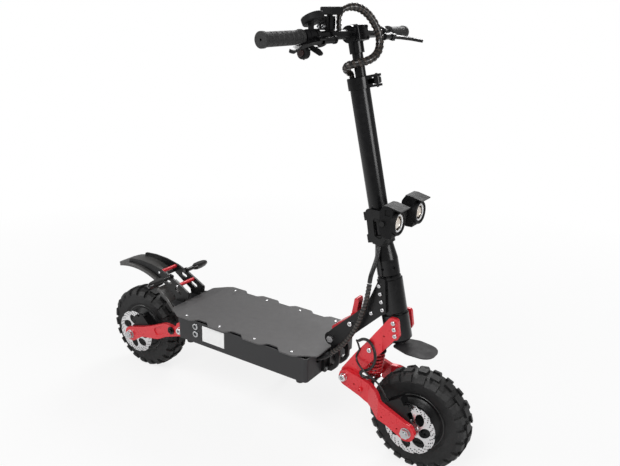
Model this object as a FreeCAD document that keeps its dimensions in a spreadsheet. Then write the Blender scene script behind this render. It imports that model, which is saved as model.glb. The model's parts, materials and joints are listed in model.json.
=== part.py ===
import FreeCAD, Part
import math
import os
import Sketcher
from FreeCAD import Placement, Rotation, Vector

# Off-road electric kick scooter with a leading-link front suspension, a sprung
# rear swingarm and a stem that folds back over the deck.
# Millimetres.  +X is forward, +Y is the rider's left, +Z is up.  The origin is on
# the ground, midway between the two axles.

os.makedirs("parts", exist_ok=True)
doc = FreeCAD.newDocument("kick_scooter")

SIZES = [
    # wheels
    ("wheelbase", 1020), ("tyre_diameter", 280), ("tyre_width", 84), ("knob_height", 7),
    ("knob_count", 22), ("rim_diameter", 166), ("hub_width", 76), ("axle_diameter", 14),
    ("rotor_diameter", 145), ("rotor_thickness", 2.4), ("rotor_offset", 66),
    ("rotor_waves", 10), ("axle_nut_across", 24), ("axle_nut_height", 10),
    # deck
    ("deck_length", 474), ("deck_width", 258), ("deck_depth", 72), ("deck_wall", 3),
    ("deck_height", 290), ("deck_centre", -27), ("deck_shift", 15), ("deck_tilt", 1.1),
    ("lid_thickness", 4), ("lid_front", 267), ("lid_rear", 276), ("lid_half_width", 136),
    ("lid_recess", 17), ("lid_corner", 38), ("lid_lip", 42), ("lid_drop", 5),
    ("screw_pitch", 129.6), ("screw_spread", 235), ("screw_head", 9), ("foot_diameter", 28), ("foot_height", 14),
    ("battery_length", 300), ("battery_width", 180), ("battery_height", 58),
    ("port_diameter", 20), ("port_bore", 12), ("port_spacing", 25),
    # fold joint and neck
    ("pivot_x", 246), ("pivot_z", 316), ("pivot_diameter", 12), ("pivot_hub", 40),
    ("ear_gap", 42), ("ear_thickness", 10), ("neck_plate", 8), ("side_clearance", 0.4),
    ("head_tube_diameter", 68), ("head_tube_length", 92), ("steerer_diameter", 30),
    ("bearing_height", 6),
    # steering and stem
    ("rake", 12.41), ("crown_x", 417.5), ("crown_z", 430), ("crown_diameter", 72),
    ("crown_length", 78), ("stem_diameter", 50), ("stem_wall", 3), ("stem_start", 100.3),
    ("stem_top", 590), ("stem_sleeve", 282), ("cone_diameter", 60),
    ("mast_diameter", 27), ("mast_wall", 2.5), ("mast_offset", 8), ("mast_bottom", 430),
    ("bar_height", 715), ("bar_diameter", 22), ("bar_sweep", 32), ("bar_half_width", 332),
    ("grip_length", 128), ("grip_diameter", 32), ("collar_height", 30),
    # front suspension
    ("arm_thickness", 10), ("link_thickness", 12), ("crown_arm_inset", 35),
    ("crown_arm_step", 12), ("link_inner", 58), ("link_step", 22),
    ("link_pivot_x", 308), ("link_pivot_z", 231), ("shock_top_x", 378),
    ("shock_top_z", 327), ("shock_foot_x", 360), ("shock_foot_z", 208),
    ("shock_body_diameter", 24), ("shock_rod_diameter", 12), ("spring_diameter", 44),
    ("spring_wire", 7), ("bolt_diameter", 8),
    # rear suspension and fender
    ("swing_pivot_x", -277), ("swing_pivot_z", 217), ("rear_arm_inner", 80),
    ("rear_arm_thickness", 12), ("brace_x", -318), ("brace_z", 206),
    ("brace_diameter", 26), ("rear_spring_diameter", 34), ("rear_spring_wire", 5),
    ("rear_spring_spread", 44), ("shelf_height", 6), ("fender_radius", 240),
    ("fender_half_width", 50), ("fender_thickness", 3), ("fender_flange", 11),
    ("guard_radius", 197), ("bracket_radius", 380), ("bracket_inner", 33),
    ("bracket_thickness", 6), ("spacer_diameter", 12),
    # lamps, kickstand, controls
    ("lamp_diameter", 62), ("lamp_spread", 120), ("lamp_x", 414),
    ("lamp_z", 692), ("lamp_rod", 8), ("stand_x", -70), ("stand_y", 112), ("stand_z", 200),
    ("stand_rod", 16), ("seat_gap", 0.3), ("fit_gap", 0.05),
]
sheet = doc.addObject("Spreadsheet::Sheet", "sizes")
for row, (alias, value) in enumerate(SIZES, 1):
    sheet.set("A%d" % row, alias)
    sheet.set("B%d" % row, str(value))
    sheet.setAlias("B%d" % row, alias)
doc.recompute()


def size(alias):
    """The value of one named cell."""
    return float(sheet.get(alias))


X_AXIS = Vector(1, 0, 0)
Y_AXIS = Vector(0, 1, 0)
Z_AXIS = Vector(0, 0, 1)

axle_x = size("wheelbase") / 2
deck_front = size("deck_centre") + size("deck_shift") + size("deck_length") / 2
deck_rear = deck_front - size("deck_length")
axle_z = size("tyre_diameter") / 2
seat = size("seat_gap")
fit = size("fit_gap")

deck_place = Placement(Vector(size("deck_centre"), 0, size("deck_height")),
                       Rotation(Y_AXIS, size("deck_tilt")))
steer_place = Placement(Vector(size("crown_x"), 0, size("crown_z")),
                        Rotation(Y_AXIS, -size("rake")))
front_wheel_place = Placement(Vector(axle_x, 0, axle_z), Rotation())
rear_wheel_place = Placement(Vector(-axle_x, 0, axle_z), Rotation())

nodes = []


# ---------------------------------------------------------------- helpers

def keep(obj, label, place=None):
    """Label an object as a node of the model and give it its placement."""
    obj.Label = label
    if place is not None:
        obj.Placement = place
    nodes.append(obj)
    return obj


def feature(label, shape, place=None):
    """A node whose shape is worked out from the sheet by Part's own functions."""
    obj = doc.addObject("Part::Feature", label)
    obj.Shape = shape if shape.Placement.isIdentity() else Part.makeCompound([shape])
    return keep(obj, label, place)


def bound(kind, name, base=(0, 0, 0), **cells):
    """A Part primitive whose properties are bound to cells by expressions."""
    obj = doc.addObject("Part::" + kind, name)
    for prop, expression in cells.items():
        obj.setExpression(prop, expression)
    for axis, value in zip("xyz", base):
        if isinstance(value, str):
            obj.setExpression(".Placement.Base." + axis, value)
        else:
            setattr(obj.Placement.Base, axis, value)
    return obj


def body_sketch(body, role, name):
    """A sketch flat on one of a body's own origin planes."""
    sketch = body.newObject("Sketcher::SketchObject", name)
    plane = [f for f in body.Origin.OriginFeatures if f.Role == role][0]
    sketch.AttachmentSupport = [(plane, "")]
    sketch.MapMode = "FlatFace"
    return sketch


def sketch_circle(sketch, centre, expression):
    """A circle held at a point, its diameter bound to an expression."""
    index = sketch.addGeometry(Part.Circle(Vector(*centre, 0), Z_AXIS, 10))
    if centre == (0, 0):
        sketch.addConstraint(Sketcher.Constraint("Coincident", index, 3, -1, 1))
    else:
        sketch.addConstraint(Sketcher.Constraint("DistanceX", -1, 1, index, 3, centre[0]))
        sketch.addConstraint(Sketcher.Constraint("DistanceY", -1, 1, index, 3, centre[1]))
    number = sketch.addConstraint(Sketcher.Constraint("Diameter", index, 20))
    sketch.setExpression("Constraints[%d]" % number, expression)


def wire_xz(corners, y=0.0):
    """Closed wire in a plane of constant y; corners are (x, z) or (x, z, radius)."""
    points = [Vector(c[0], y, c[1]) for c in corners]
    radii = [c[2] if len(c) > 2 else 0 for c in corners]
    return rounded_wire(points, radii, closed=True)


def wire_xy(corners, z=0.0):
    """Closed wire in a plane of constant z; corners are (x, y) or (x, y, radius)."""
    points = [Vector(c[0], c[1], z) for c in corners]
    radii = [c[2] if len(c) > 2 else 0 for c in corners]
    return rounded_wire(points, radii, closed=True)


def rounded_wire(points, radii, closed):
    """Straight runs joined by tangent arcs at the points that have a radius."""
    count = len(points)
    starts, ends, arcs = [], [], []
    for i, corner in enumerate(points):
        radius = radii[i]
        if radius <= 0 or (not closed and i in (0, count - 1)):
            starts.append(corner)
            ends.append(corner)
            arcs.append(None)
            continue
        back = (points[i - 1] - corner).normalize()
        ahead = (points[(i + 1) % count] - corner).normalize()
        half = back.getAngle(ahead) / 2
        reach = radius / math.tan(half)
        middle = (back + ahead).normalize()
        top = corner + middle * (radius / math.sin(half) - radius)
        starts.append(corner + back * reach)
        ends.append(corner + ahead * reach)
        arcs.append(Part.Arc(starts[-1], top, ends[-1]).toShape())
    edges = []
    last = count if closed else count - 1
    for i in range(count):
        if arcs[i] is not None:
            edges.append(arcs[i])
        if i < last:
            a, b = ends[i], starts[(i + 1) % count]
            if (a - b).Length > 1e-4:
                edges.append(Part.LineSegment(a, b).toShape())
    return Part.Wire(edges)


def plate_xz(corners, y_low, y_high, holes=()):
    """A flat plate standing in a plane of constant y, with round holes (x, z, diameter)."""
    solid = Part.Face(wire_xz(corners, y_low)).extrude(Vector(0, y_high - y_low, 0))
    for x, z, diameter in holes:
        drill = Part.makeCylinder(diameter / 2, y_high - y_low + 2, Vector(x, y_low - 1, z), Y_AXIS)
        solid = solid.cut(drill)
    return solid


def prism_xy(corners, z_low, z_high):
    """A prism standing on an outline in plan."""
    return Part.Face(wire_xy(corners, z_low)).extrude(Vector(0, 0, z_high - z_low))


def mirrored(shape):
    """The same shape on the other side of the machine."""
    return shape.mirror(Vector(0, 0, 0), Y_AXIS)


def cross_rod(x, z, diameter, y_low, y_high):
    """A round rod along Y."""
    return Part.makeCylinder(diameter / 2, y_high - y_low, Vector(x, y_low, z), Y_AXIS)


def cross_tube(x, z, outer, inner, y_low, y_high):
    """A tube along Y."""
    return cross_rod(x, z, outer, y_low, y_high).cut(cross_rod(x, z, inner, y_low - 1, y_high + 1))


def hex_prism(x, z, across, y_low, y_high):
    """A hexagonal nut along Y."""
    radius = across / math.sqrt(3)
    corners = [(x + radius * math.cos(math.radians(60 * i)),
                z + radius * math.sin(math.radians(60 * i))) for i in range(6)]
    return plate_xz(corners, y_low, y_high)


def fuse(*shapes):
    """One solid from several."""
    return shapes[0].multiFuse(list(shapes[1:])).removeSplitter()


def revolved(profile, axis=Z_AXIS):
    """A turned solid from a closed profile of (radius, height) points about an axis at the origin."""
    across = Vector(1, 0, 0)
    points = [across * r + axis * height for r, height in profile]
    face = Part.Face(Part.makePolygon(points + points[:1]))
    return face.revolve(Vector(0, 0, 0), axis, 360)


def cable(points, diameter):
    """A round cable: straight runs joined by the largest tangent arcs they allow."""
    route = [Vector(*p) for p in points]
    radii = [0.0]
    for i in range(1, len(route) - 1):
        before, after = route[i - 1] - route[i], route[i + 1] - route[i]
        turn = math.pi - before.getAngle(after)
        radii.append(0.45 * min(before.Length, after.Length) / math.tan(turn / 2))
    radii.append(0.0)
    path = rounded_wire(route, radii, closed=False)
    start = route[0]
    face = Part.Face(Part.Wire(Part.makeCircle(diameter / 2, start, route[1] - start)))
    tube = Part.Wire(path.Edges).makePipeShell([face.OuterWire], True, True)
    ideal = math.pi * diameter ** 2 / 4 * path.Length
    print("cable of %.0f mm, length %.0f, radii %s, volume ratio %.4f" % (
        diameter, path.Length, [round(r) for r in radii[1:-1]], tube.Volume / ideal))
    return tube


# ---------------------------------------------------------------- deck

def build_deck():
    """The load-bearing box, its lid, battery, controllers and feet, in the deck's tilted frame."""
    half_length = size("deck_length") / 2
    half_width = size("deck_width") / 2
    depth, wall, lid = size("deck_depth"), size("deck_wall"), size("lid_thickness")
    corner = 10
    shift = size("deck_shift")
    box_outline = [(shift + sx * half_length, sy * half_width, corner)
                   for sx, sy in ((-1, -1), (1, -1), (1, 1), (-1, 1))]
    inner = [(shift + sx * (half_length - wall), sy * (half_width - wall), corner - wall)
             for sx, sy in ((-1, -1), (1, -1), (1, 1), (-1, 1))]
    shell = prism_xy(box_outline, -lid - depth, -lid)
    shell = shell.cut(prism_xy(inner, -lid - depth + wall, -lid + 1))
    rows = (-1.5, -0.5, 0.5, 1.5)
    holes = [(k * size("screw_pitch") - 0.2, s * size("screw_spread") / 2)
             for k in rows for s in (-1, 1)]
    # screw bosses stand in the corners and along both walls
    for x, y in holes:
        boss = Part.makeBox(14, 14, depth - wall, Vector(x - 7, 0, -lid - depth + wall))
        boss.translate(Vector(0, half_width - wall - 14 if y > 0 else wall - half_width, 0))
        boss = boss.cut(Part.makeCylinder(2.1, 20, Vector(x, y, -lid - 20)))
        shell = shell.fuse(boss)
    # round charge sockets pass through the right wall near the rear
    for centre in port_spots():
        hole = Part.makeCylinder(size("port_diameter") / 2 - 3 + fit, 3 * wall, centre, Y_AXIS)
        shell = shell.cut(hole)
    # cable entry in the front wall
    shell = shell.cut(Part.makeCylinder(11 + seat, 4 * wall,
                                        Vector(shift + half_length - 2 * wall, -69, -lid - 23), X_AXIS))
    for piece in tail_pieces + stand_ears():
        shell = shell.fuse(placed(piece, deck_place.inverse()))
    for spot in hinge_screw_spots():
        hole = Part.makeCylinder(3 + fit, 6 * wall, spot - X_AXIS * 3 * wall, X_AXIS)
        shell = shell.cut(placed(hole, deck_place.inverse()))
    feature("deck_shell", shell.removeSplitter(), deck_place)

    # lid: scalloped between the screws, its rear end turned down
    edge, recess = size("lid_half_width"), size("lid_half_width") - size("lid_recess")
    front, rear, cut = size("lid_front"), size("lid_rear"), size("lid_corner")
    side = [(-rear, edge - cut, 14), (-rear + 1.5 * cut, edge, 14)]
    for a, b in zip(rows, rows[1:]):
        low = a * size("screw_pitch") + 30
        high = b * size("screw_pitch") - 30
        side += [(low, edge, 12), (low + 18, recess, 12), (high - 18, recess, 12), (high, edge, 12)]
    side += [(front - 1.6 * cut, edge, 14), (front, edge - cut, 14)]
    outline = side + [(x, -y, r) for x, y, r in reversed(side)]
    blank = prism_xy(outline, -20, 10)
    drop = size("lid_drop")
    lip = size("lid_lip")
    profile = [(-rear - 5, -lid - drop), (-rear + lip, -lid), (front + 5, -lid), (front + 5, 0),
               (-rear + lip, 0), (-rear - 5, -drop)]
    plate = plate_xz(profile, -edge - 5, edge + 5)
    cover = plate.common(blank)
    for x, y in holes:
        cover = cover.cut(Part.makeCylinder(2.6, 3 * lid, Vector(x, y, -2 * lid)))
    feature("deck_lid", cover, deck_place)
    block = placed(prism_xy(box_outline, -lid - depth, -lid), deck_place)

    screws = []
    for x, y in holes:
        head = Part.makeCone(size("screw_head") / 2, size("screw_head") / 2 - 1.6, 2.6,
                             Vector(x, y, seat / 3))
        socket = Part.makeCylinder(1.5, 1.6, Vector(x, y, 1.4))
        shank = Part.makeCylinder(2, lid + 12, Vector(x, y, -lid - 12 + seat / 3))
        screws.append(head.fuse(shank).cut(socket))
    return block, screws


def hinge_screw_spots():
    """Where the four screws of the hinge base meet the deck's front wall."""
    return [Vector(deck_front, y, z) for y in (-42, 42) for z in (222, 268)]


def port_spots():
    """Outer ends of the two charge sockets in the deck's frame."""
    x = size("deck_shift") - size("deck_length") / 2 + 73
    y = -size("deck_width") / 2 - 5
    middle = -size("lid_thickness") - size("deck_depth") / 2 + 8
    return [Vector(x, y, middle + k * size("port_spacing")) for k in (-0.5, 0.5)]


def build_deck_contents():
    """Battery pack, two motor controllers, charge sockets and feet."""
    depth, wall, lid = size("deck_depth"), size("deck_wall"), size("lid_thickness")
    floor = -lid - depth + wall
    length, width, height = (size("battery_" + s) for s in ("length", "width", "height"))
    battery = bound("Box", "battery_block", Length="sizes.battery_length",
                    Width="sizes.battery_width", Height="sizes.battery_height")
    rounded = doc.addObject("Part::Fillet", "battery_fillet")
    rounded.Base = battery
    doc.recompute()
    upright = [i + 1 for i, e in enumerate(battery.Shape.Edges)
               if abs(e.tangentAt(e.FirstParameter).z) > 0.9]
    rounded.Edges = [(i, 8.0, 8.0) for i in upright]
    place = deck_place.multiply(Placement(Vector(-length / 2 + 20, -width / 2, floor + seat), Rotation()))
    keep(rounded, "battery_pack", place)

    boards = []
    for x in (-length / 2 - 16, length / 2 + 24 + 20):
        case = Part.makeBox(34, 150, 46, Vector(x - 17, -75, floor + seat))
        case = case.makeFillet(3, [e for e in case.Edges if abs(e.tangentAt(0).z) > 0.9])
        for k in range(7):
            slot = Part.makeBox(36, 10, 5, Vector(x - 18, -66 + k * 20, floor + seat + 41.5))
            case = case.cut(slot)
        boards.append(case)
    feature("motor_controllers", Part.makeCompound(boards), deck_place)

    sockets = []
    for centre in port_spots():
        outer = size("port_diameter") / 2
        flange = Part.makeCylinder(outer, 5 - seat / 3, centre, Y_AXIS)
        flange = flange.makeFillet(1.5, [flange.Edges[0]] if flange.Edges[0].CenterOfMass.y < centre.y + 1
                                   else [flange.Edges[2]])
        barrel = Part.makeCylinder(outer - 3, 18, centre, Y_AXIS)
        bore = Part.makeCylinder(size("port_bore") / 2, 14, centre - Y_AXIS * 0.01, Y_AXIS)
        sockets.append(flange.fuse(barrel).cut(bore))
    feature("charge_sockets", Part.makeCompound(sockets), deck_place)

    feet = []
    for sx in (-1, 1):
        for sy in (-1, 1):
            centre = Vector(size("deck_shift") + sx * (size("deck_length") / 2 - 33),
                            sy * (size("deck_width") / 2 - 20), -lid - depth - size("foot_height"))
            pad = Part.makeCone(size("foot_diameter") / 2 - 3, size("foot_diameter") / 2,
                                size("foot_height"), centre)
            feet.append(pad.makeFillet(2.5, [min(pad.Edges, key=lambda e: e.CenterOfMass.z)]))
    feature("deck_feet", Part.makeCompound(feet), deck_place)


# ---------------------------------------------------------------- wheels

def build_wheel(prefix, place):
    """Tyre with shoulder and centre knobs, hub motor and wavy brake rotor, about Y."""
    outer = size("tyre_diameter") / 2
    half = size("tyre_width") / 2
    knob = size("knob_height")
    rim = size("rim_diameter") / 2
    carcass = outer - knob
    profile = [Vector(rim - 6, -half * 0.62, 0), Vector(rim + 6, -half * 0.8, 0),
               Vector(carcass - 14, -half + 3, 0), Vector(carcass - 3, -half * 0.72, 0),
               Vector(carcass, 0, 0), Vector(carcass - 3, half * 0.72, 0),
               Vector(carcass - 14, half - 3, 0), Vector(rim + 6, half * 0.8, 0),
               Vector(rim - 6, half * 0.62, 0)]
    crown = Part.Arc(profile[3], profile[4], profile[5]).toShape()
    edges = [Part.LineSegment(a, b).toShape() for a, b in
             zip(profile[:3], profile[1:4])] + [crown]
    edges += [Part.LineSegment(a, b).toShape() for a, b in zip(profile[5:], profile[6:])]
    edges.append(Part.LineSegment(profile[8], profile[0]).toShape())
    tyre = Part.Face(Part.Wire(edges)).revolve(Vector(0, 0, 0), Y_AXIS, 360)
    count = int(size("knob_count"))
    step = 360 / count
    blocks = []
    for k in range(count):
        turn = Rotation(Y_AXIS, k * step)
        centre_block = Part.makeBox(24, 24, knob + 3, Vector(-12, -17 if k % 2 else -7, carcass - 3))
        centre_block.Placement = Placement(Vector(), turn)
        blocks.append(centre_block)
        for side in (-1, 1):
            corners = [Vector(0, half * 0.50, outer - 2), Vector(0, half * 0.80, outer - 5),
                       Vector(0, half, outer - 16), Vector(0, half * 0.98, carcass - 16),
                       Vector(0, half * 0.50, carcass - 8)]
            face = Part.Face(Part.makePolygon(corners + [corners[0]]))
            block = face.extrude(Vector(20, 0, 0))
            block.translate(Vector(-10, 0, 0))
            if side < 0:
                block = block.mirror(Vector(0, 0, 0), Y_AXIS)
            block.Placement = Placement(Vector(), Rotation(Y_AXIS, k * step + (step / 2 if side > 0 else 0)))
            blocks.append(block)
    tyre = tyre.multiFuse(blocks)
    feature(prefix + "_tyre", tyre, place)

    hub_half = size("hub_width") / 2
    axle = size("axle_diameter") / 2
    drum = rim - 6 - fit
    profile = [(axle + fit, -hub_half - 6), (24, -hub_half - 6), (26, -hub_half), (drum - 24, -hub_half + 2),
               (drum - 12, -hub_half + 10), (drum - 8, -half * 0.62 + 2), (drum, -half * 0.62),
               (drum, half * 0.62), (drum - 8, half * 0.62 - 2), (drum - 12, hub_half - 10),
               (drum - 24, hub_half - 2), (26, hub_half), (24, hub_half + 6), (axle + fit, hub_half + 6)]
    hub = revolved(profile, Y_AXIS)
    rotor_y = -size("rotor_offset")
    carrier = cross_rod(0, 0, 62, rotor_y + size("rotor_thickness") / 2, -hub_half)
    carrier = carrier.cut(cross_rod(0, 0, 2 * (axle + fit), rotor_y - 1, 0))
    for k in range(10):
        turn = math.radians(36 * k)
        cooling = cross_rod((drum - 38) * math.cos(turn), (drum - 38) * math.sin(turn), 9,
                            -hub_half - 1, -hub_half + 4)
        hub = hub.cut(cooling)
    feature(prefix + "_hub_motor", fuse(hub, carrier), place)
    build_rotor(prefix, place)


def build_rotor(prefix, place):
    """Brake rotor: a disc with a wavy rim, long windows and vent holes, padded about Y."""
    body = doc.addObject("PartDesign::Body", prefix + "_rotor_body")
    disc = body_sketch(body, "XZ_Plane", prefix + "_disc_outline")
    sketch_circle(disc, (0, 0), "sizes.rotor_diameter")
    sketch_circle(disc, (0, 0), "30")
    pad = body.newObject("PartDesign::Pad", prefix + "_disc")
    pad.Profile = disc
    pad.setExpression("Length", "sizes.rotor_thickness")
    pad.Midplane = True
    doc.recompute()
    radius = size("rotor_diameter") / 2
    waves = int(size("rotor_waves"))
    cuts = []
    for name, distance, expression in (
            ("wave", radius + 9, "sizes.rotor_diameter * 0.16"),
            ("window", radius - 27, "sizes.rotor_diameter * 0.125"),
            ("vent", radius - 8, "sizes.rotor_diameter * 0.035"),
            ("bolt_hole", 22, "5")):
        sketch = body_sketch(body, "XZ_Plane", "%s_%s_outline" % (prefix, name))
        shift = 0 if name in ("wave", "window") else 180.0 / waves
        centre = (distance * math.cos(math.radians(shift)), distance * math.sin(math.radians(shift)))
        sketch_circle(sketch, (round(centre[0], 6), round(centre[1], 6)), expression)
        pocket = body.newObject("PartDesign::Pocket", "%s_%s" % (prefix, name))
        pocket.Profile = sketch
        pocket.Type = "ThroughAll"
        pocket.Midplane = True
        pattern = body.newObject("PartDesign::PolarPattern", "%s_%s_ring" % (prefix, name))
        pattern.Originals = [pocket]
        axis = [f for f in body.Origin.OriginFeatures if f.Role == "Y_Axis"][0]
        pattern.Axis = (axis, [""])
        pattern.Angle = 360
        if name == "bolt_hole":
            pattern.Occurrences = 5
        else:
            pattern.setExpression("Occurrences", "sizes.rotor_waves")
        body.Tip = pattern
        doc.recompute()
        cuts.append(body.Shape.Volume)
    print(prefix, "rotor volumes after each pattern", [round(v) for v in cuts])
    offset = Placement(Vector(0, -size("rotor_offset"), 0), Rotation())
    keep(body, prefix + "_rotor", place.multiply(offset))


def build_axle(prefix, place, inner, thickness):
    """Axle with nuts outside both arms."""
    axle = size("axle_diameter")
    outer = inner + thickness
    nut = size("axle_nut_height")
    shaft = cross_rod(0, 0, axle, -outer - nut - 3, outer + nut + 3)
    parts = [shaft]
    for side in (-1, 1):
        low = outer + seat / 3 if side > 0 else -outer - seat / 3 - nut
        parts.append(hex_prism(0, 0, size("axle_nut_across"), low, low + nut))
        washer = outer + seat / 3 if side > 0 else -outer - seat / 3 - 2
        parts.append(cross_rod(0, 0, size("axle_nut_across") + 6, washer, washer + 2))
        # spacer between the hub's bearing and the arm
        low = size("rotor_offset") + 4 if side < 0 else size("hub_width") / 2 + 7
        high = inner - seat / 3
        parts.append(cross_rod(0, 0, axle + 8, low if side > 0 else -high, high if side > 0 else -low))
    feature(prefix + "_axle", fuse(*parts), place)


# ---------------------------------------------------------------- shared forms

def near(base, *offsets):
    """Outline corners given as offsets (dx, dz[, radius]) from a named point."""
    return [(base[0] + o[0], base[1] + o[1]) + tuple(o[2:]) for o in offsets]


def disc(point, diameter, y_low, y_high):
    """A round boss along Y about a named point."""
    return cross_rod(point[0], point[1], diameter, y_low, y_high)


def both(shapes):
    """Shapes followed by their mirror images."""
    return shapes + [mirrored(shape) for shape in shapes]


def both_sides(shapes):
    """Shapes and their mirror images as one group."""
    return Part.makeCompound(both(shapes))


def bent_plate(outline, band):
    """A joggled plate: a side outline in (x, z) kept inside a band drawn in plan (x, y)."""
    low = min(c[1] for c in band) - 1
    high = max(c[1] for c in band) + 1
    bottom = min(c[1] for c in outline) - 50
    top = max(c[1] for c in outline) + 50
    return plate_xz(outline, low, high).common(prism_xy(band, bottom, top))


def cap_bolt(point, diameter, y_tip, y_seat):
    """Socket-head bolt along Y with its head on the outside of y_seat."""
    base = y_seat + seat / 3
    height = 0.75 * diameter
    head = disc(point, 1.7 * diameter, base, base + height)
    head = head.makeChamfer(0.8, [e for e in head.Edges if abs(e.CenterOfMass.y - base - height) < 1e-3])
    socket = hex_prism(point[0], point[1], 0.75 * diameter, base + height / 2, base + height + 1)
    return head.fuse(disc(point, diameter, y_tip, base)).cut(socket)


def bored(shape, point, diameter):
    """The shape with a hole along Y right through it."""
    return shape.cut(disc(point, diameter, -400, 400))


def coil_spring(x, y, low, high, outer, wire, turns):
    """Compression spring along Z with closed, ground ends, as stacked slanted rings."""
    pitch = (high - low - wire) / turns
    helix = Part.makeHelix(pitch, high - low - wire, (outer - wire) / 2)
    start = Vector((outer - wire) / 2, 0, 0)
    section = Part.Wire(Part.makeCircle(wire / 2, start, Vector(0, 1, 0)))
    spring = Part.Wire(helix.Edges).makePipeShell([section], True, True)
    spring.translate(Vector(x, y, low + wire / 2))
    return spring


def local_to_world(place, x, y, z):
    """A point of a placed frame in the machine's frame."""
    return place.multVec(Vector(x, y, z))


# ---------------------------------------------------------------- tail of the deck

def tail_frame():
    """Bracket on the deck's rear wall: swingarm cheeks, spring shelf and the splash guard's block."""
    rear_wall = deck_rear
    lid_end = local_to_world(deck_place, -size("lid_rear"), 0, -size("lid_thickness") - size("lid_drop"))
    shelf_top = lid_end.z - seat
    shelf_low = shelf_top - size("shelf_height")
    half = size("rear_arm_inner") - 2
    back = Part.makeBox(6, 2 * half, shelf_top - 200, Vector(rear_wall - 5, -half, 200))
    shelf = prism_xy([(rear_wall + 1, -half), (rear_wall + 1, half), (rear_wall - 60, half, 12),
                      (rear_wall - 97, half - 22, 12), (rear_wall - 97, 22 - half, 12),
                      (rear_wall - 60, -half, 12)], shelf_low, shelf_top)
    cheek = plate_xz([(rear_wall, 200), (rear_wall, shelf_top), (rear_wall - 50, shelf_top),
                      (rear_wall - 50, 215, 16), (rear_wall - 34, 195, 10), (rear_wall - 10, 195)],
                     half - 12, half)
    cheek = bored(cheek, swing_point, size("pivot_diameter") + 2 * fit)
    block = Part.makeBox(50, 28, 14, Vector(rear_wall - 97 - 40, -14, shelf_top - 14))
    block = block.cut(disc(rear_axle, 2 * size("guard_radius") + seat, -20, 20))
    block = block.cut(guard_screw_rod(2.5 + fit, -8, 14))
    return [back, shelf, cheek, mirrored(cheek), block], shelf_low, shelf_top


def guard_screw_rod(radius, low, high):
    """Cylinder on the guard screw's line, between two distances from the guard's outer surface."""
    angle = math.radians(guard_screw_angle)
    line = Vector(math.cos(angle), 0, math.sin(angle))
    start = Vector(rear_axle[0], 0, rear_axle[1]) + line * (size("guard_radius") + low)
    return Part.makeCylinder(radius, high - low, start, line)


def stand_ears():
    """Two ears under the deck that hold the kickstand's slanting pivot, and the pivot pin."""
    floor = local_to_world(deck_place, stand_pivot.x, 0, -size("lid_thickness") - size("deck_depth")).z
    above = Part.makeBox(200, 200, 60, Vector(stand_pivot.x - 100, stand_pivot.y - 100, floor + 2))
    upright = stand_axis.cross(X_AXIS) * -1
    frame = Placement(stand_pivot, Rotation(X_AXIS, upright, stand_axis, "ZXY"))
    pieces = []
    for low in (-15, 11):
        ear = Part.makeCylinder(11, 4, Vector(0, 0, low)).fuse(Part.makeBox(22, 60, 4, Vector(-11, 0, low)))
        pieces.append(ear)
    pieces.append(Part.makeCylinder(4, 32, Vector(0, 0, -16)))
    return [placed(piece, frame).cut(above) for piece in pieces]


def build_rear_suspension():
    """Swingarm plates, their brace, the upright coil springs and the pivot bolts."""
    inner, outer = size("rear_arm_inner"), size("rear_arm_inner") + size("rear_arm_thickness")
    outline = (near(swing_point, (-24, 0, 16), (-14, 25, 14), (8, 24, 16), (24, 4, 16), (18, -18, 14))
               + near(swing_point, (-12, -24, 10), (-66, -41, 40), (-106, -61, 20))
               + near(rear_axle, (52, 4, 30), (12, -22, 18), (-14, -22, 14), (-26, 0, 16), (-18, 20, 14))
               + near(rear_axle, (6, 27, 14), (57, 41, 30), (101, 56, 30))
               + near(swing_point, (-67, 7, 60)))
    arm = plate_xz(outline, inner, outer)
    arm = bored(arm, swing_point, size("pivot_diameter") + 2 * fit)
    arm = bored(arm, rear_axle, size("axle_diameter") + 2 * fit)
    arm = bored(arm, brace_point, size("bolt_diameter") + 2 * fit)
    pocket = plate_xz(near(swing_point, (-80, -5, 6), (-74, -32, 8), (-112, -49, 8), (-122, -27, 8)),
                      outer - 3, outer + 1)
    feature("rear_arms", both_sides([arm.cut(pocket)]))
    reach = inner - seat / 3
    tube = cross_tube(*brace_point, size("brace_diameter"), size("bolt_diameter") + 2 * fit,
                      -reach, reach)
    bolt = cap_bolt(brace_point, size("bolt_diameter"), 20, outer + 4)
    washer = disc(brace_point, size("brace_diameter") - 1, outer + seat / 3, outer + 4)
    seats = []
    for side in (-1, 1):
        y = side * size("rear_spring_spread") / 2
        cup = Part.makeCylinder(size("rear_spring_diameter") / 2 + 2, 12,
                                Vector(brace_point[0], y, brace_point[1] + 3))
        seats.append(cup)
    spring_low = brace_point[1] + 15
    brace = bored(fuse(tube, *seats), brace_point, size("bolt_diameter") + 2 * fit)
    feature("rear_brace", Part.makeCompound([brace, bolt.fuse(washer), mirrored(bolt.fuse(washer))]))
    springs = [coil_spring(brace_point[0], side * size("rear_spring_spread") / 2, spring_low + seat,
                           shelf_under - seat, size("rear_spring_diameter"), size("rear_spring_wire"), 5)
               for side in (-1, 1)]
    feature("rear_springs", Part.makeCompound(springs))
    pivot = cap_bolt(swing_point, size("pivot_diameter"), inner - 26, outer + 3)
    collar = disc(swing_point, 24, outer + seat / 3, outer + 3)
    return pivot.fuse(collar)


# ---------------------------------------------------------------- fenders

def curved_sheet(centre, radius, start, end, section):
    """A channel section of (y, depth) points bent along an arc about Y; angles from +X upward."""
    points = [Vector(radius - depth, y, 0) for y, depth in section]
    face = Part.Face(Part.makePolygon(points + [points[0]]))
    face.rotate(Vector(), Y_AXIS, -start)
    solid = face.revolve(Vector(), Y_AXIS, start - end)
    solid.translate(Vector(centre[0], 0, centre[1]))
    return solid


def channel(half, thickness, flange):
    """Section of a sheet with turned-down edges."""
    edge = thickness / 2
    return [(-half, flange), (-half, edge), (edge - half, 0), (half - edge, 0), (half, edge),
            (half, flange), (half - thickness, flange), (half - thickness, thickness),
            (thickness - half, thickness), (thickness - half, flange)]


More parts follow.
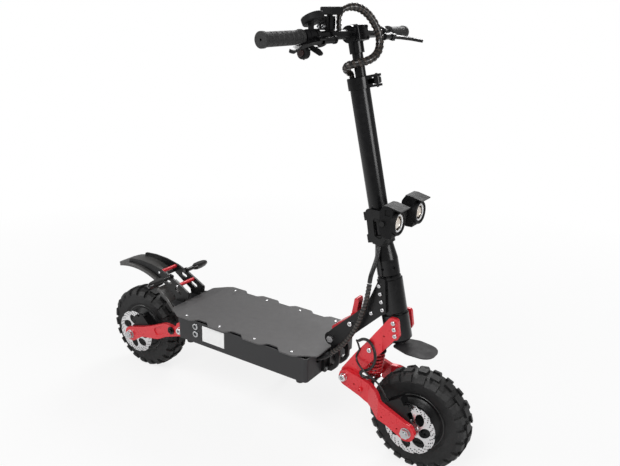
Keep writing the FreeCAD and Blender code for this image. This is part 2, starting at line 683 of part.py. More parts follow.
def build_rear_fender():
    """Arched tail sheet, splash guard and the two slotted brackets with their spacers."""
    half, thick = size("fender_half_width"), size("fender_thickness")
    tail_centre = (rear_axle[0] - 17, rear_axle[1] - 5)
    sheet_shape = curved_sheet(tail_centre, size("fender_radius"), 62, 109,
                               channel(half, thick, size("fender_flange")))
    tip = rear_axle[0] - 98
    plan = prism_xy([(tip, -half - 2, 40), (tip, half + 2, 40), (-380, half + 2), (-380, -half - 2)],
                    200, 500)
    sheet_shape = sheet_shape.common(plan)
    guard = curved_sheet(rear_axle, size("guard_radius"), 33, 62,
                         channel(half - 5, thick, size("fender_flange")))
    guard = guard.cut(guard_screw_rod(2.5 + fit, -10, 1))
    feature("rear_fender", Part.makeCompound([sheet_shape, guard]))

    inner = size("bracket_inner")
    outer = inner + size("bracket_thickness")
    arc_centre = (rear_axle[0] + 5, rear_axle[1] - 131)

    def on_arc(x, drop=0):
        """A point of the bracket's top edge, lowered by drop."""
        dx = x - arc_centre[0]
        return (x, arc_centre[1] + math.sqrt(size("bracket_radius") ** 2 - dx * dx) - drop)

    top = [on_arc(-548) + (5,)] + [on_arc(x) + (60,) for x in (-500, -450, -400, -350, -312)]
    root = [(-286, 322, 6), (-290, 299, 5), (-306, shelf_upper + 12, 4), (-306, shelf_upper + seat / 3)]
    foot = [(-344, shelf_upper + seat / 3), (-346, shelf_upper + 16, 8), (-372, 318, 20)]
    under = [(x, tail_centre[1] + math.sqrt((size("fender_radius") + seat) ** 2 - (x - tail_centre[0]) ** 2))
             for x in (-417, -450, -500, -550)]
    under = [(-398, 336, 10)] + under
    plate = plate_xz(top + root + foot + under, inner, outer)
    for x, drop, length in ((-330, 26, 30), (-372, 22, 26)):
        middle = on_arc(x, drop)
        slope = math.degrees(math.atan2(x - arc_centre[0], middle[1] + drop - arc_centre[1]))
        slot = plate_xz([(-length / 2, -6, 5.5), (length / 2, -6, 5.5), (length / 2, 6, 5.5),
                         (-length / 2, 6, 5.5)], inner - 1, outer + 1)
        slot.rotate(Vector(), Y_AXIS, slope)
        slot.translate(Vector(middle[0], 0, middle[1]))
        plate = plate.cut(slot)
    lamp_ear = disc(stalk_point, 20, inner, outer)
    plate = fuse(plate, lamp_ear)
    spacers, screws = [], []
    for x in (-331.6, -408.5):
        point = on_arc(x, 9)
        plate = bored(plate, point, 5 + 2 * fit)
        spacers.append(cross_tube(*point, size("spacer_diameter"), 5 + 2 * fit,
                                  seat / 3 - inner, inner - seat / 3))
        screws.append(cap_bolt(point, 5, 6, outer))
    plate = bored(plate, stalk_point, 6 + 2 * fit)
    # the plates stand on the tail sheet
    arch = disc(tail_centre, 2 * (size("fender_radius") + seat), inner - 1, outer + 1)
    plate = plate.cut(arch.common(Part.makeBox(300, 100, 400, Vector(-710, 0, 100))))
    feature("fender_brackets", both_sides([plate]))
    feature("fender_spacers", Part.makeCompound(spacers))
    head = guard_screw_rod(4.5, -thick - 3 - seat / 3, -thick - seat / 3)
    return screws + [mirrored(screw) for screw in screws] + [guard_screw_rod(2.5, -thick - 1, 9).fuse(head)]


def build_indicators():
    """Turn signals on short stalks either side of the fender brackets."""
    outer = size("bracket_inner") + size("bracket_thickness")
    x, z = stalk_point
    stalk = cross_rod(x, z, 10, outer + seat / 3, outer + 34)
    stud = cross_rod(x, z, 6, size("bracket_inner") - 6, outer + 1)
    nut = hex_prism(x, z, 11, size("bracket_inner") - 6, size("bracket_inner") - seat / 3)
    ribs = [cross_rod(x, z, 13, outer + 4 + 7 * k, outer + 8 + 7 * k) for k in range(4)]
    profile = [(0, outer + 30), (7, outer + 30), (12, outer + 42), (13, outer + 62), (11, outer + 82),
               (7, outer + 94), (0, outer + 98)]
    housing = revolved(profile, Y_AXIS)
    housing.translate(Vector(x, 0, z))
    trim = Part.makeBox(30, 80, 18, Vector(x - 15, outer + 28, z - 9))
    housing = housing.common(trim)
    feature("indicators", both_sides([fuse(stalk, stud, nut, housing, *ribs)]))


# ---------------------------------------------------------------- fold joint and neck

def build_hinge_base():
    """Plate on the deck's front wall with two ears and the latch barrel, and the pivot bolt."""
    gap, ear = size("ear_gap") / 2, size("ear_thickness")
    front_wall = deck_front
    hub = size("pivot_hub")
    lid_edge = size("deck_centre") + size("lid_front")
    outline = [(front_wall + 1, 208), (front_wall + 19, 209, 6), (front_wall + 34, 223, 8),
               (front_wall + 42, 239, 8), (front_wall + 43, 264, 20),
               (fold_point[0] + hub / 2 - 1, fold_point[1]), (fold_point[0], fold_point[1] + 4),
               (lid_edge + 2, fold_point[1] - 12), (lid_edge + 2, 279, 4), (front_wall + 1, 275)]
    ears = plate_xz(outline, gap, gap + ear)
    ears = ears.fuse(disc(fold_point, hub, gap, gap + ear))
    window = plate_xz([(front_wall + 14, 226, 5), (front_wall + 22, 226, 5), (front_wall + 32, 244, 6),
                       (front_wall + 32, 262, 6), (front_wall + 14, 262, 6)], gap - 1, gap + ear + 1)
    ears = ears.cut(window)
    plate = Part.makeBox(9, 104, 70, Vector(front_wall - 1, -52, 209))
    plate = plate.makeFillet(7, [e for e in plate.Edges if abs(e.tangentAt(e.FirstParameter).x) > 0.9])
    barrel = disc(fold_point, hub - 4, -gap - 1, gap + 1)
    base = fuse(ears, mirrored(ears), plate, barrel)
    base = bored(base, fold_point, size("pivot_diameter") + 2 * fit)
    base = base.cut(deck_block)
    screws = []
    for spot in hinge_screw_spots():
        base = base.cut(Part.makeCylinder(3 + fit, 30, spot - X_AXIS * 10, X_AXIS))
        screw = Part.makeCylinder(3, 12, spot - X_AXIS * 2.7, X_AXIS)
        head = Part.makeCylinder(5, 4.5, spot + X_AXIS * (8 + seat / 3), X_AXIS)
        key = Part.makeCylinder(2.2, 3, spot + X_AXIS * 10, X_AXIS)
        screws.append(screw.fuse(head).cut(key))
    feature("hinge_base", base)

    reach = gap + ear + size("side_clearance") + size("neck_plate")
    bolt = disc(fold_point, size("pivot_diameter"), -reach - 4, reach + 2)
    head = disc(fold_point, 20, reach + seat / 3, reach + 7)
    head = head.cut(hex_prism(*fold_point, 8, reach + 3, reach + 8))
    nut = hex_prism(*fold_point, 18, -reach - 8, -reach - seat / 3)
    return screws, fuse(bolt, head, nut)


def build_neck():
    """Two side plates from the fold pivot to the head tube, the head tube and its bearings."""
    inner = size("ear_gap") / 2 + size("ear_thickness") + size("side_clearance")
    outer = inner + size("neck_plate")
    outline = (near(fold_point, (-14, 12, 8), (8, 35, 20))
               + near(crown_point, (-66.5, 11, 90), (-34, 86, 12), (-27, 98, 6), (-13.5, 98, 6),
                      (-6, 3, 6), (-19, -5, 16))
               + near(fold_point, (31, -7, 30), (8, -19)))
    plate = plate_xz(outline, inner, outer).fuse(disc(fold_point, size("pivot_hub"), inner, outer))
    plate = bored(plate, fold_point, size("pivot_diameter") + 2 * fit)
    column = [(crown_point[0] - 10.5 - 4.2 * k, crown_point[1] + 7 + 21.5 * k) for k in range(4)]
    column = [(x - 5.3, z + 5.4) for x, z in column]
    for point in column + [spacer_point]:
        plate = bored(plate, point, size("bolt_diameter") - 2 + 2 * fit)
    plate = bored(plate, lever_point, size("bolt_diameter") + 2 * fit)
    feature("neck_plates", both_sides([plate.removeSplitter()]))

    # the head tube, turned, flattened where the plates bear, and drilled for their bolts
    radius = size("head_tube_diameter") / 2
    length = size("head_tube_length")
    bearing = size("bearing_height")
    tube = revolved([(18, bearing), (26, bearing), (26, 0), (radius - 2, 0), (radius, 2),
                     (radius, length - 2), (radius - 2, length), (26, length),
                     (26, length - bearing), (18, length - bearing)])
    flats = Part.makeBox(4 * radius, 2 * (inner - seat / 3), 2 * length,
                         Vector(-2 * radius, -(inner - seat / 3), -length / 2))
    tube = tube.common(flats)
    tube.Placement = steer_place
    world = tube.copy()
    for x, z in column:
        for side in (-1, 1):
            low = 24 if side > 0 else -inner - 1
            world = world.cut(cross_rod(x, z, size("bolt_diameter") - 2 + 2 * fit, low, low + inner - 23))
    feature("head_tube", world)

    bore, cup, rim = steerer + fit, 26 - fit, radius - 3
    top_ring = revolved([(bore, length - bearing + seat / 3), (cup, length - bearing + seat / 3),
                         (cup, length + seat / 3), (rim, length + seat / 3), (rim, length + 5),
                         (rim - 3, length + 8), (bore, length + 8)])
    low_ring = revolved([(bore, bearing - seat / 3), (cup, bearing - seat / 3), (cup, -seat / 3),
                         (rim, -seat / 3), (rim, -3.7), (bore, -3.7)])
    feature("headset_bearings", Part.makeCompound([low_ring, top_ring]), steer_place)

    bolts = []
    for point in column:
        bolt = cap_bolt(point, size("bolt_diameter") - 2, 25, outer)
        bolts += [bolt, mirrored(bolt)]
    long_bolt = cap_bolt(spacer_point, size("bolt_diameter") - 2, 0, outer)
    spacer = cross_tube(*spacer_point, 14, size("bolt_diameter") - 2 + 2 * fit,
                        seat / 3 - inner, inner - seat / 3)
    hinge_bolt = cap_bolt(lever_point, size("bolt_diameter"), 0, outer)
    bolts += [fuse(long_bolt, mirrored(long_bolt)), spacer, fuse(hinge_bolt, mirrored(hinge_bolt))]
    feature("neck_bolts", Part.makeCompound(bolts))


def build_fold_lever():
    """Red latch lever on its bolt between the plates: thumb tip above, latch toe over the barrel."""
    half = size("ear_gap") / 2 - 3
    body = plate_xz(near(lever_point, (-12, 2, 6), (-11, 24, 20), (-6, 50, 30), (-4, 64, 4),
                         (6, 66, 4), (9, 56, 8), (4, 30, 30), (12, 8, 8), (11, -9, 8), (-10, -13, 8))
                    + near(fold_point, (36, 32, 12), (12, 14), (-10, 15), (-10, 27, 4), (10, 44, 14),
                           (30, 58, 12)), -half, half)
    barrel_room = disc(fold_point, size("pivot_hub") + 2 * seat + 1, -half - 1, half + 1)
    body = body.cut(barrel_room)
    for side in (-1, 1):
        relief = plate_xz(near(lever_point, (-30, 20), (-30, 80), (30, 80), (30, 20)),
                          side * half if side < 0 else half - 5, side * half + 5 if side < 0 else half)
        body = body.cut(relief)
    body = bored(body, lever_point, size("bolt_diameter") + 2 * fit)
    feature("fold_lever", body)


# ---------------------------------------------------------------- steered parts

def build_steerer():
    """Crown with its steerer tube, the lower stem and the clamp collar at its top."""
    radius = size("crown_diameter") / 2
    length = size("crown_length")
    crown = revolved([(0, -4 - length), (radius - 8, -4 - length), (radius, 4 - length), (radius, -6),
                      (radius - 2, -4), (steerer, -4), (steerer, 150), (0, 150)])
    flats = Part.makeBox(4 * radius, 2 * (size("crown_arm_inset") - seat / 3), 3 * length + 100,
                         Vector(-2 * radius, -(size("crown_arm_inset") - seat / 3), -2 * length))
    crown = crown.common(flats)
    crown = crown.cut(Part.makeCylinder(4 + fit, 24, Vector(0, 0, -5 - length)))
    crown.Placement = steer_place
    for point in crown_bolts:
        crown = crown.cut(disc(point, size("bolt_diameter") - 1 + 2 * fit, 15, 60))
        crown = crown.cut(disc(point, size("bolt_diameter") - 1 + 2 * fit, -60, -15))
    feature("fork_crown", crown)

    outer = size("stem_diameter") / 2
    bore = outer - size("stem_wall")
    start, sleeve, top = size("stem_start"), size("stem_sleeve"), size("stem_top")
    cone = size("cone_diameter") / 2
    profile = [(steerer + fit, start), (cone - 2, start), (cone, start + 3), (cone, start + 44),
               (outer - 1, start + 82), (outer - 1, sleeve), (outer, sleeve + 1), (outer, top - 8),
               (bore, top - 8), (bore, 160), (steerer + fit, 150)]
    stem = revolved(profile)
    for angle in (-150, -90, -30):
        outward = Vector(math.cos(math.radians(angle)), math.sin(math.radians(angle)), 0)
        stem = stem.cut(Part.makeCylinder(4, 8, outward * (cone - 4) + Z_AXIS * (start + 22), outward))
    # slanting hole for the feed cable
    first, second = (steer_place.inverse().multVec(point) for point in feed_exit)
    stem = stem.cut(Part.makeCylinder(6 + seat, (first - second).Length + 4, second, first - second))
    # clamp collar: a ring with an eccentric bore, a slot and two ears for the lever's pin
    height = size("collar_height")
    low = top - 8 + seat / 3
    ring = Part.makeCylinder(outer + 4, height, Vector(0, 0, low))
    ring = ring.makeChamfer(1.5, [e for e in ring.Edges if abs(e.CenterOfMass.z - low - height) < 1e-3])
    ears = Part.makeBox(36, 26, height, Vector(outer - 4, -13, low))
    gap = Part.makeBox(60, 32, height - 12, Vector(outer + 6, -16, low + 6))
    ring = ring.fuse(ears).cut(gap)
    mast = size("mast_diameter") / 2
    shift = size("mast_offset")
    ring = ring.cut(Part.makeCylinder(mast + fit, 2 * height, Vector(shift, 0, low - 1)))
    ring = ring.cut(Part.makeCylinder(9, 2 * height, Vector(shift - mast - 8.5, 0, low - 1)))
    ring = ring.cut(Part.makeBox(60, 2, 2 * height, Vector(shift + mast - 2, -1, low - 1)))
    ring = ring.cut(Part.makeCylinder(3 + fit, 2 * height, Vector(collar_pin, 0, low - 1)))
    pin = Part.makeCylinder(3, height + 4, Vector(collar_pin, 0, low - 2))
    screw = Part.makeCylinder(4, 8, Vector(0.45 * outer, 1 - outer, low + height / 2),
                              Vector(0.3, -1, 0))
    feature("stem_tube", Part.makeCompound([stem, fuse(ring, screw), pin]), steer_place)


def build_clamp_lever():
    """Cam lever that closes the collar, lying back along the left side."""
    height = size("collar_height") - 12
    low = size("stem_top") - 8 + 6 + 2 * seat
    outer = size("stem_diameter") / 2
    tall = height - 2 * seat
    barrel = Part.makeCylinder(8, tall, Vector(collar_pin, 0, low))
    handle = prism_xy([(collar_pin - 6, 0), (collar_pin + 6, 0), (collar_pin + 4, 16, 8),
                       (outer + 12, outer + 6, 10), (4, outer + 14, 20), (-18, outer + 12, 2.5),
                       (-18, outer + 6, 2.5),
                       (6, outer + 7, 16), (outer + 2, outer - 2, 8), (collar_pin - 7, 12, 5)],
                      low + 2, low + tall - 2)
    lever = fuse(barrel, handle)
    lever = lever.cut(Part.makeCylinder(3 + fit, 4 * height, Vector(collar_pin, 0, low - height)))
    feature("clamp_lever", lever, steer_place)


def build_crown_arms(fender_bolt):
    """Bent upper arms of the leading-link front end and every bolt of the crown and its arms."""
    inset = size("crown_arm_inset")
    step = inset + size("crown_arm_step")
    thick = size("arm_thickness")
    outline = (near(crown_point, (8, -2, 8), (31.5, -1, 8), (38.5, -47, 8), (33, -60, 6), (25, -62, 6))
               + near(shock_top, (31, -2, 12), (-8, -50, 8))
               + near(link_point, (59, 28, 6), (40, 11, 10), (20, -14, 12), (0, -17, 12), (-17, -6, 12),
                      (-15, 16, 10))
               + near(shock_top, (-43, -21, 80), (0, 34, 80)))
    bend = crown_point[0] - 30
    band = [(250, step), (bend, step), (bend + 16, inset), (480, inset), (480, inset + thick),
            (bend + 20, inset + thick), (bend + 4, step + thick), (250, step + thick)]
    arm = bent_plate(outline, band)
    arm = bored(arm, link_point, size("pivot_diameter") + 2 * fit)
    arm = bored(arm, shock_top, size("bolt_diameter") + 2 * fit)
    arm = bored(arm, (crown_point[0] - 5.5, crown_point[1] - 59), 5)
    arm = bored(arm, (link_point[0] + 30, link_point[1] + 52), 5)
    for point in crown_bolts:
        arm = bored(arm, point, size("bolt_diameter") - 1 + 2 * fit)
    feature("crown_arms", both_sides([arm]))

    bolts = []
    for point in crown_bolts:
        bolts.append(cap_bolt(point, size("bolt_diameter") - 1, 16, inset + thick))
    link_outer = size("link_inner") + size("link_thickness")
    pivot = cap_bolt(link_point, size("pivot_diameter"), step - 6, link_outer + 3)
    washer = disc(link_point, 22, link_outer + seat, link_outer + 3 + seat)
    nut = hex_prism(*link_point, 19, step - 8, step - seat / 3)
    bolts.append(fuse(pivot, washer, nut))
    shaft = cap_bolt(shock_top, size("bolt_diameter"), 0, step + thick)
    long_shaft = fuse(shaft, mirrored(shaft))
    sleeve = cross_tube(*shock_top, 16, size("bolt_diameter") + 2 * fit, eye_half + 1, step - seat / 3)
    feature("arm_bolts", Part.makeCompound(bolts + [mirrored(b) for b in bolts]
                                           + [long_shaft, sleeve, mirrored(sleeve), fender_bolt]))


def build_front_links():
    """Bent lower links that carry the front wheel, with the shock's lower bolt."""
    inner = size("link_inner")
    step = inner + size("link_step")
    thick = size("link_thickness")
    outline = (near(link_point, (-17, -4, 10), (-12, 15, 9), (4, 22, 12), (16, 19, 12), (48, 12, 60))
               + near(shock_foot, (28, 24, 40), (60, 17, 40))
               + near(front_axle, (-79, 61, 20), (-11, 31, 20), (16, 20, 12), (26, 0, 14), (18, -20, 14),
                      (-4, -26, 14), (-26, -14, 12), (-61, 3, 30), (-92, 14, 40))
               + near(shock_foot, (40, -40, 30), (15, -30, 20), (-2, -21, 30))
               + near(link_point, (-6, -23, 10)))
    bend = shock_foot[0] + 28
    band = [(270, inner), (bend, inner), (bend + 42, step), (560, step), (560, step + thick),
            (bend + 38, step + thick), (bend - 4, inner + thick), (270, inner + thick)]
    link = bent_plate(outline, band)
    link = bored(link, link_point, size("pivot_diameter") + 2 * fit)
    link = bored(link, shock_foot, size("bolt_diameter") + 2 * fit)
    link = bored(link, front_axle, size("axle_diameter") + 2 * fit)
    link = bored(link, (link_point[0] + 32, link_point[1] - 13), 5)
    link = bored(link, (front_axle[0] - 72, front_axle[1] + 21), 5)
    link = bored(link, (front_axle[0] - 26, front_axle[1] + 3), 5)
    shaft = cap_bolt(shock_foot, size("bolt_diameter"), 0, inner + thick)
    sleeve = cross_tube(*shock_foot, 16, size("bolt_diameter") + 2 * fit, eye_half + 1, inner - seat / 3)
    feature("front_arms", Part.makeCompound([link, mirrored(link), fuse(shaft, mirrored(shaft)),
                                             sleeve, mirrored(sleeve)]))


def build_shock():
    """Coil-over shock between the arms: body with its upper eye, rod with its lower eye, and spring."""
    length = math.dist(shock_top, shock_foot)
    angle = math.degrees(math.atan2(shock_top[0] - shock_foot[0], shock_top[1] - shock_foot[1]))
    place = Placement(Vector(shock_foot[0], 0, shock_foot[1]), Rotation(Y_AXIS, angle))
    body_r, rod_r = size("shock_body_diameter") / 2, size("shock_rod_diameter") / 2
    spring_r = size("spring_diameter") / 2
    eye = 13
    bore = size("bolt_diameter") / 2 + fit
    body = revolved([(0, length - 12), (8, length - 10), (9, length - 20), (spring_r, length - 22),
                     (spring_r + 1, length - 24), (spring_r + 1, length - 26), (body_r + 1, length - 26),
                     (body_r, length - 28), (body_r, 46), (rod_r + shock_play, 46),
                     (rod_r + shock_play, length - 34), (0, length - 34)])
    upper_eye = Part.makeCylinder(eye, 2 * eye_half, Vector(0, -eye_half, length), Y_AXIS)
    body = fuse(body, upper_eye).cut(Part.makeCylinder(bore, 60, Vector(0, -30, length), Y_AXIS))
    feature("front_shock_body", body, place)
    low_cap = 17
    rod_shape = revolved([(0, 10), (9, 10), (9, low_cap - 4), (spring_r, low_cap - 3),
                          (spring_r + 1, low_cap - 1), (spring_r + 1, low_cap + 2),
                          (rod_r + 4, low_cap + 2), (rod_r, low_cap + 6), (rod_r, length - 46),
                          (0, length - 46)])
    lower_eye = Part.makeCylinder(eye, 2 * eye_half, Vector(0, -eye_half, 0), Y_AXIS)
    rod_shape = fuse(rod_shape, lower_eye).cut(Part.makeCylinder(bore, 60, Vector(0, -30, 0), Y_AXIS))
    feature("front_shock_rod", rod_shape, place)
    spring = coil_spring(0, 0, low_cap + 2 + seat, length - 26 - seat, size("spring_diameter"),
                         size("spring_wire"), 6)
    feature("front_spring", spring, place)


def build_caliper(prefix, axle, angle):
    """Caliper over the rotor with its bracket inside the right arm; returns its hose port and axis."""
    face = seat / 3 - size("rear_arm_inner")
    rotor_y = -size("rotor_offset")
    mean = size("rotor_diameter") / 2 - 6
    thick = size("rotor_thickness") / 2
    mouth = 3.5
    block = Part.makeBox(52, 30, 38, Vector(-26, face, mean - 16))
    block = block.makeFillet(5, [e for e in block.Edges if abs(e.tangentAt(e.FirstParameter).y) > 0.9])
    slot = Part.makeCylinder(size("rotor_diameter") / 2 + 3, 2 * mouth, Vector(0, rotor_y - mouth, 0), Y_AXIS)
    parts = [block.cut(slot)]
    for side in (-1, 1):
        near_face, far_face = rotor_y + side * (thick + 0.5), rotor_y + side * (mouth + 0.1)
        parts.append(Part.makeBox(34, abs(far_face - near_face), 17,
                                  Vector(-17, min(near_face, far_face), mean - 14)))
    parts.append(Part.makeCylinder(10, 3, Vector(0, face + 30, mean + 2), Y_AXIS))
    tab = Part.makeBox(76, 6, 22, Vector(-38, face, mean - 22))
    foot = Part.makeBox(40, 6, 34, Vector(-20, face, mean - 54))
    tab = tab.fuse(foot).removeSplitter()
    parts.append(tab.makeFillet(5, [e for e in tab.Edges if abs(e.tangentAt(e.FirstParameter).y) > 0.9]))
    for x in (-32, 32):
        parts.append(Part.makeCylinder(5, 4, Vector(x, face + 6, mean - 11), Y_AXIS))
    port = Vector(-18, rotor_y - 8, mean + 30)
    parts.append(Part.makeCylinder(5, 10, port - Z_AXIS * 10, Z_AXIS))
    turn = Placement(Vector(axle[0], 0, axle[1]), Rotation(Y_AXIS, 90 - angle))
    feature(prefix + "_caliper", fuse(*parts), turn)
    return turn.multVec(port), turn.Rotation.multVec(Z_AXIS)


def build_front_fender():
    """Flat tongue on a boss under the crown; returns the bolt that holds it."""
    root = crown_point[0] + 14
    tongue = prism_xy([(root, -30, 8), (root + 46, -45, 30), (root + 110, -38, 34),
                       (root + 110, 38, 34), (root + 46, 45, 30), (root, 30, 8)], -3, 0)
    tongue.rotate(Vector(root, 0, 0), Y_AXIS, 4)
    base = -4 - size("crown_length")
    tongue.translate(Vector(0, 0, local_to_world(steer_place, 0, 0, base).z - 7))
    depth = 13
    boss = Part.makeCylinder(12, depth, Vector(0, 0, base - depth - seat / 3))
    bore = Part.makeCylinder(4 + fit, 40, Vector(0, 0, base - 30))
    bolt = Part.makeCylinder(4, depth + 17, Vector(0, 0, base - depth - 1))
    head = hex_prism(0, 0, 13, 0, 5)
    head.rotate(Vector(), X_AXIS, 90)
    head.translate(Vector(0, 0, base - depth - 5 - 2 * seat / 3))
    bolt = bolt.fuse(head)
    for shape in (boss, bore, bolt):
        shape.Placement = steer_place.multiply(shape.Placement)
    feature("front_fender", fuse(tongue, boss).cut(bore))
    return bolt


# ---------------------------------------------------------------- lamps

def build_lamps():
    """Two tilting headlamps and the bracket that clamps them to the lower stem."""
    outer = size("stem_diameter") / 2 - 1
    rings = []
    for low in (190, 250):
        ring = Part.makeCylinder(outer + 6, 22, Vector(0, 0, low)).cut(
            Part.makeCylinder(outer + fit, 24, Vector(0, 0, low - 1)))
        lug = Part.makeBox(16, 18, 22, Vector(-outer - 18, -9, low))
        lug = lug.cut(Part.makeBox(30, 3, 30, Vector(-outer - 24, -1.5, low - 2)))
        lug = lug.cut(Part.makeCylinder(outer + fit, 24, Vector(0, 0, low - 1)))
        screw = Part.makeCylinder(4, 26, Vector(-outer - 12, -13, low + 11), Y_AXIS)
        rings += [ring, lug, screw]
    clamps = [placed(shape, steer_place) for shape in rings]
    inner = size("lamp_spread") / 2 - lamp_half - 1.2
    cheek = plate_xz(near(lamp_point, (-64, -70, 6), (-30, -82, 8), (10, -14, 12), (12, 10, 10),
                          (-12, 12, 10), (-78, 14, 8)), inner - 5, inner)
    cheek = cheek.cut(plate_xz(near(lamp_point, (-48, -56, 6), (-30, -62, 6), (-10, -14, 8),
                                    (-56, -6, 8)), inner - 6, inner + 1))
    tilt_rod = disc(lamp_point, size("lamp_rod"), inner - 5, lamp_outer + 4)
    knob = disc(lamp_point, 14, lamp_outer + seat, lamp_outer + 5)
    bridge = Part.makeBox(30, 2 * inner, 5, Vector(lamp_point[0] - 62, -inner, lamp_point[1] + 2))
    side = [cheek, tilt_rod, knob]
    bracket = fuse(*clamps, *both(side), bridge)
    core = Part.makeCylinder(outer + fit, 200, Vector(0, 0, 150))
    core.Placement = steer_place
    bracket = bracket.cut(core)
    feature("lamp_bracket", bracket)

    for name, sign in (("headlamp_right", -1), ("headlamp_left", 1)):
        centre_y = sign * size("lamp_spread") / 2
        x, z = lamp_point
        low, high = centre_y - lamp_half, centre_y + lamp_half
        housing = plate_xz(near(lamp_point, (-9, -22, 10), (4, -36, 10), (26, -36, 4), (26, 38, 3),
                                (2, 46, 6), (-9, 30, 12)), low, high)
        visor = plate_xz(near(lamp_point, (1, 40), (1, 46), (12, 46, 3), (48, 37), (47, 34), (20, 40)),
                         low, high)
        bezel = Part.makeCylinder(size("lamp_diameter") / 2, 12, Vector(x + 23, centre_y, z), X_AXIS)
        bezel = bezel.makeChamfer(2, [e for e in bezel.Edges if abs(e.CenterOfMass.x - x - 35) < 1e-3])
        body = fuse(housing, visor, bezel)
        bowl = Part.makeCone(12, size("lamp_diameter") / 2 - 5, 22, Vector(x + 14, centre_y, z), X_AXIS)
        body = body.cut(bowl)
        for face in (low, high):
            window = near(lamp_point, (5, 21, 2), (20, 21, 2), (20, 36, 2), (5, 36, 2))
            body = body.cut(plate_xz(window, face - 2, face + 2))
        for k in range(5):
            groove = Part.makeBox(4, 2 * lamp_half - 12, 2.4, Vector(x - 11, low + 6, z - 18 + 11 * k))
            body = body.cut(groove)
        body = bored(body, lamp_point, size("lamp_rod") + 2 * fit)
        feature(name, body)


# ---------------------------------------------------------------- kickstand

def build_kickstand():
    """Bent leg with a barrel on the slanting pivot and a flat foot."""
    pivot = stand_pivot
    barrel = Part.makeCylinder(10, 22 - 2 * seat, pivot - stand_axis * (11 - seat), stand_axis)
    barrel = barrel.cut(Part.makeCylinder(4 + fit, 60, pivot - stand_axis * 30, stand_axis))
    foot = Vector(pivot.x + 18, pivot.y + 85, size("stand_rod") / 2 - 0.5)
    knee = pivot + (foot - pivot) * 0.12 + Vector(0, 4, -4)
    leg = cable([tuple(pivot + (knee - pivot).normalize() * 8), tuple(knee), tuple(foot)], size("stand_rod"))
    shoe = Part.makeCylinder(14, 5, Vector(foot.x, foot.y, 0))
    shoe = shoe.fuse(Part.makeSphere(9, Vector(foot.x, foot.y, 6)))
    trim = Part.makeBox(80, 80, 60, Vector(foot.x - 40, foot.y - 40, -60))
    leg = leg.cut(trim)
    room = Part.makeCylinder(4 + fit, 60, pivot - stand_axis * 30, stand_axis)
    feature("kickstand_leg", fuse(barrel, leg, shoe.cut(trim)).cut(room))


# ---------------------------------------------------------------- mast, bar and controls

def build_mast():
    """Telescopic mast with a key groove, the bar clamp and the swept bar with grips."""
    mast = size("mast_diameter") / 2
    shift = size("mast_offset")
    low, high = size("mast_bottom"), size("bar_height") - size("bar_diameter") / 2 - 1
    tube = Part.makeCylinder(mast, high - low, Vector(shift, 0, low))
    tube = tube.cut(Part.makeCylinder(mast - size("mast_wall"), high - low + 2, Vector(shift, 0, low - 1)))
    groove = Part.makeBox(3, 4, high - low - 40, Vector(shift + mast * 0.6, -mast - 1, low + 10))
    tube = tube.cut(groove)
    feature("mast_tube", tube, steer_place)

    block_r = size("bar_diameter") / 2 + 10
    barrel = Part.makeCylinder(block_r, 56, Vector(shift, -28, size("bar_height")), Y_AXIS)
    sleeve = Part.makeCylinder(mast + 5, 46, Vector(shift, 0, size("bar_height") - 46))
    face = Part.makeBox(14, 50, 38, Vector(shift + block_r - 8, -25, size("bar_height") - 19))
    face = face.makeFillet(3, face.Edges)
    block = fuse(barrel, sleeve, face)
    block = block.cut(Part.makeCylinder(size("bar_diameter") / 2 + fit, 80,
                                        Vector(shift, -40, size("bar_height")), Y_AXIS))
    block = block.cut(Part.makeCylinder(mast + fit, high, Vector(shift, 0, 0)))
    block = block.fuse(Part.makeCylinder(mast - 2, 4, Vector(shift, 0, size("bar_height") + block_r - 3)))
    for y in (-18, 18):
        for z in (-13, 13):
            head = Part.makeCylinder(3.5, 3, Vector(shift + block_r + 5, y, size("bar_height") + z), X_AXIS)
            key = Part.makeCylinder(1.6, 3, Vector(shift + block_r + 6.5, y, size("bar_height") + z), X_AXIS)
            block = block.fuse(head).cut(key)
    feature("handlebar_stem", block, steer_place)


def bar_spot(y):
    """A point on the bar's centre line at a distance from the middle, in the machine's frame."""
    run = max(0.0, abs(y) - bar_straight)
    ratio = run / (size("bar_half_width") - bar_straight)
    return Vector(bar_centre.x - size("bar_sweep") * ratio, y, bar_centre.z - 4 * ratio)


def bar_direction(side):
    """Unit vector outward along one side of the bar."""
    return (bar_spot(side * size("bar_half_width")) - bar_spot(side * bar_straight)).normalize()


def bar_frame(y, droop=0):
    """Frame on the bar: its z runs outward along the bar, x forward and down by droop degrees."""
    outward = bar_direction(1 if y > 0 else -1)
    ahead = Vector(math.cos(math.radians(droop)), 0, -math.sin(math.radians(droop)))
    x_axis = (ahead - outward * ahead.dot(outward)).normalize()
    return Placement(bar_spot(y), Rotation(x_axis, outward.cross(x_axis), outward, "ZXY"))


def placed(shape, place):
    """A copy of a shape set down in a frame."""
    copy = shape.copy()
    copy.Placement = place.multiply(copy.Placement)
    return copy


def build_bar():
    """Swept tube with rubber grips."""
    half = size("bar_half_width")
    tube = rounded_bar(size("bar_diameter")).cut(rounded_bar(size("bar_diameter") - 5, 10))
    feature("handlebar", tube)
    grips = []
    length = size("grip_length")
    radius = size("grip_diameter") / 2
    tube = size("bar_diameter") / 2 + fit
    ring = [(tube, 0), (radius + 2, 0), (radius + 2, 6)]
    count = 7
    for k in range(count):
        z = 6 + (length - 16) * k / count
        step = (length - 16) / count
        ring += [(radius - 2, z + 1.5), (radius, z + 3), (radius, z + step - 1)]
    ring += [(radius + 2, length - 8), (radius + 2, length), (3, length), (3, length - 3), (tube, length - 3)]
    grip = revolved(ring)
    for sign in (-1, 1):
        place = bar_frame(sign * (half - (length - 3.6) * abs(bar_direction(sign).y)))
        grips.append(placed(grip, place))
    feature("grips", Part.makeCompound(grips))


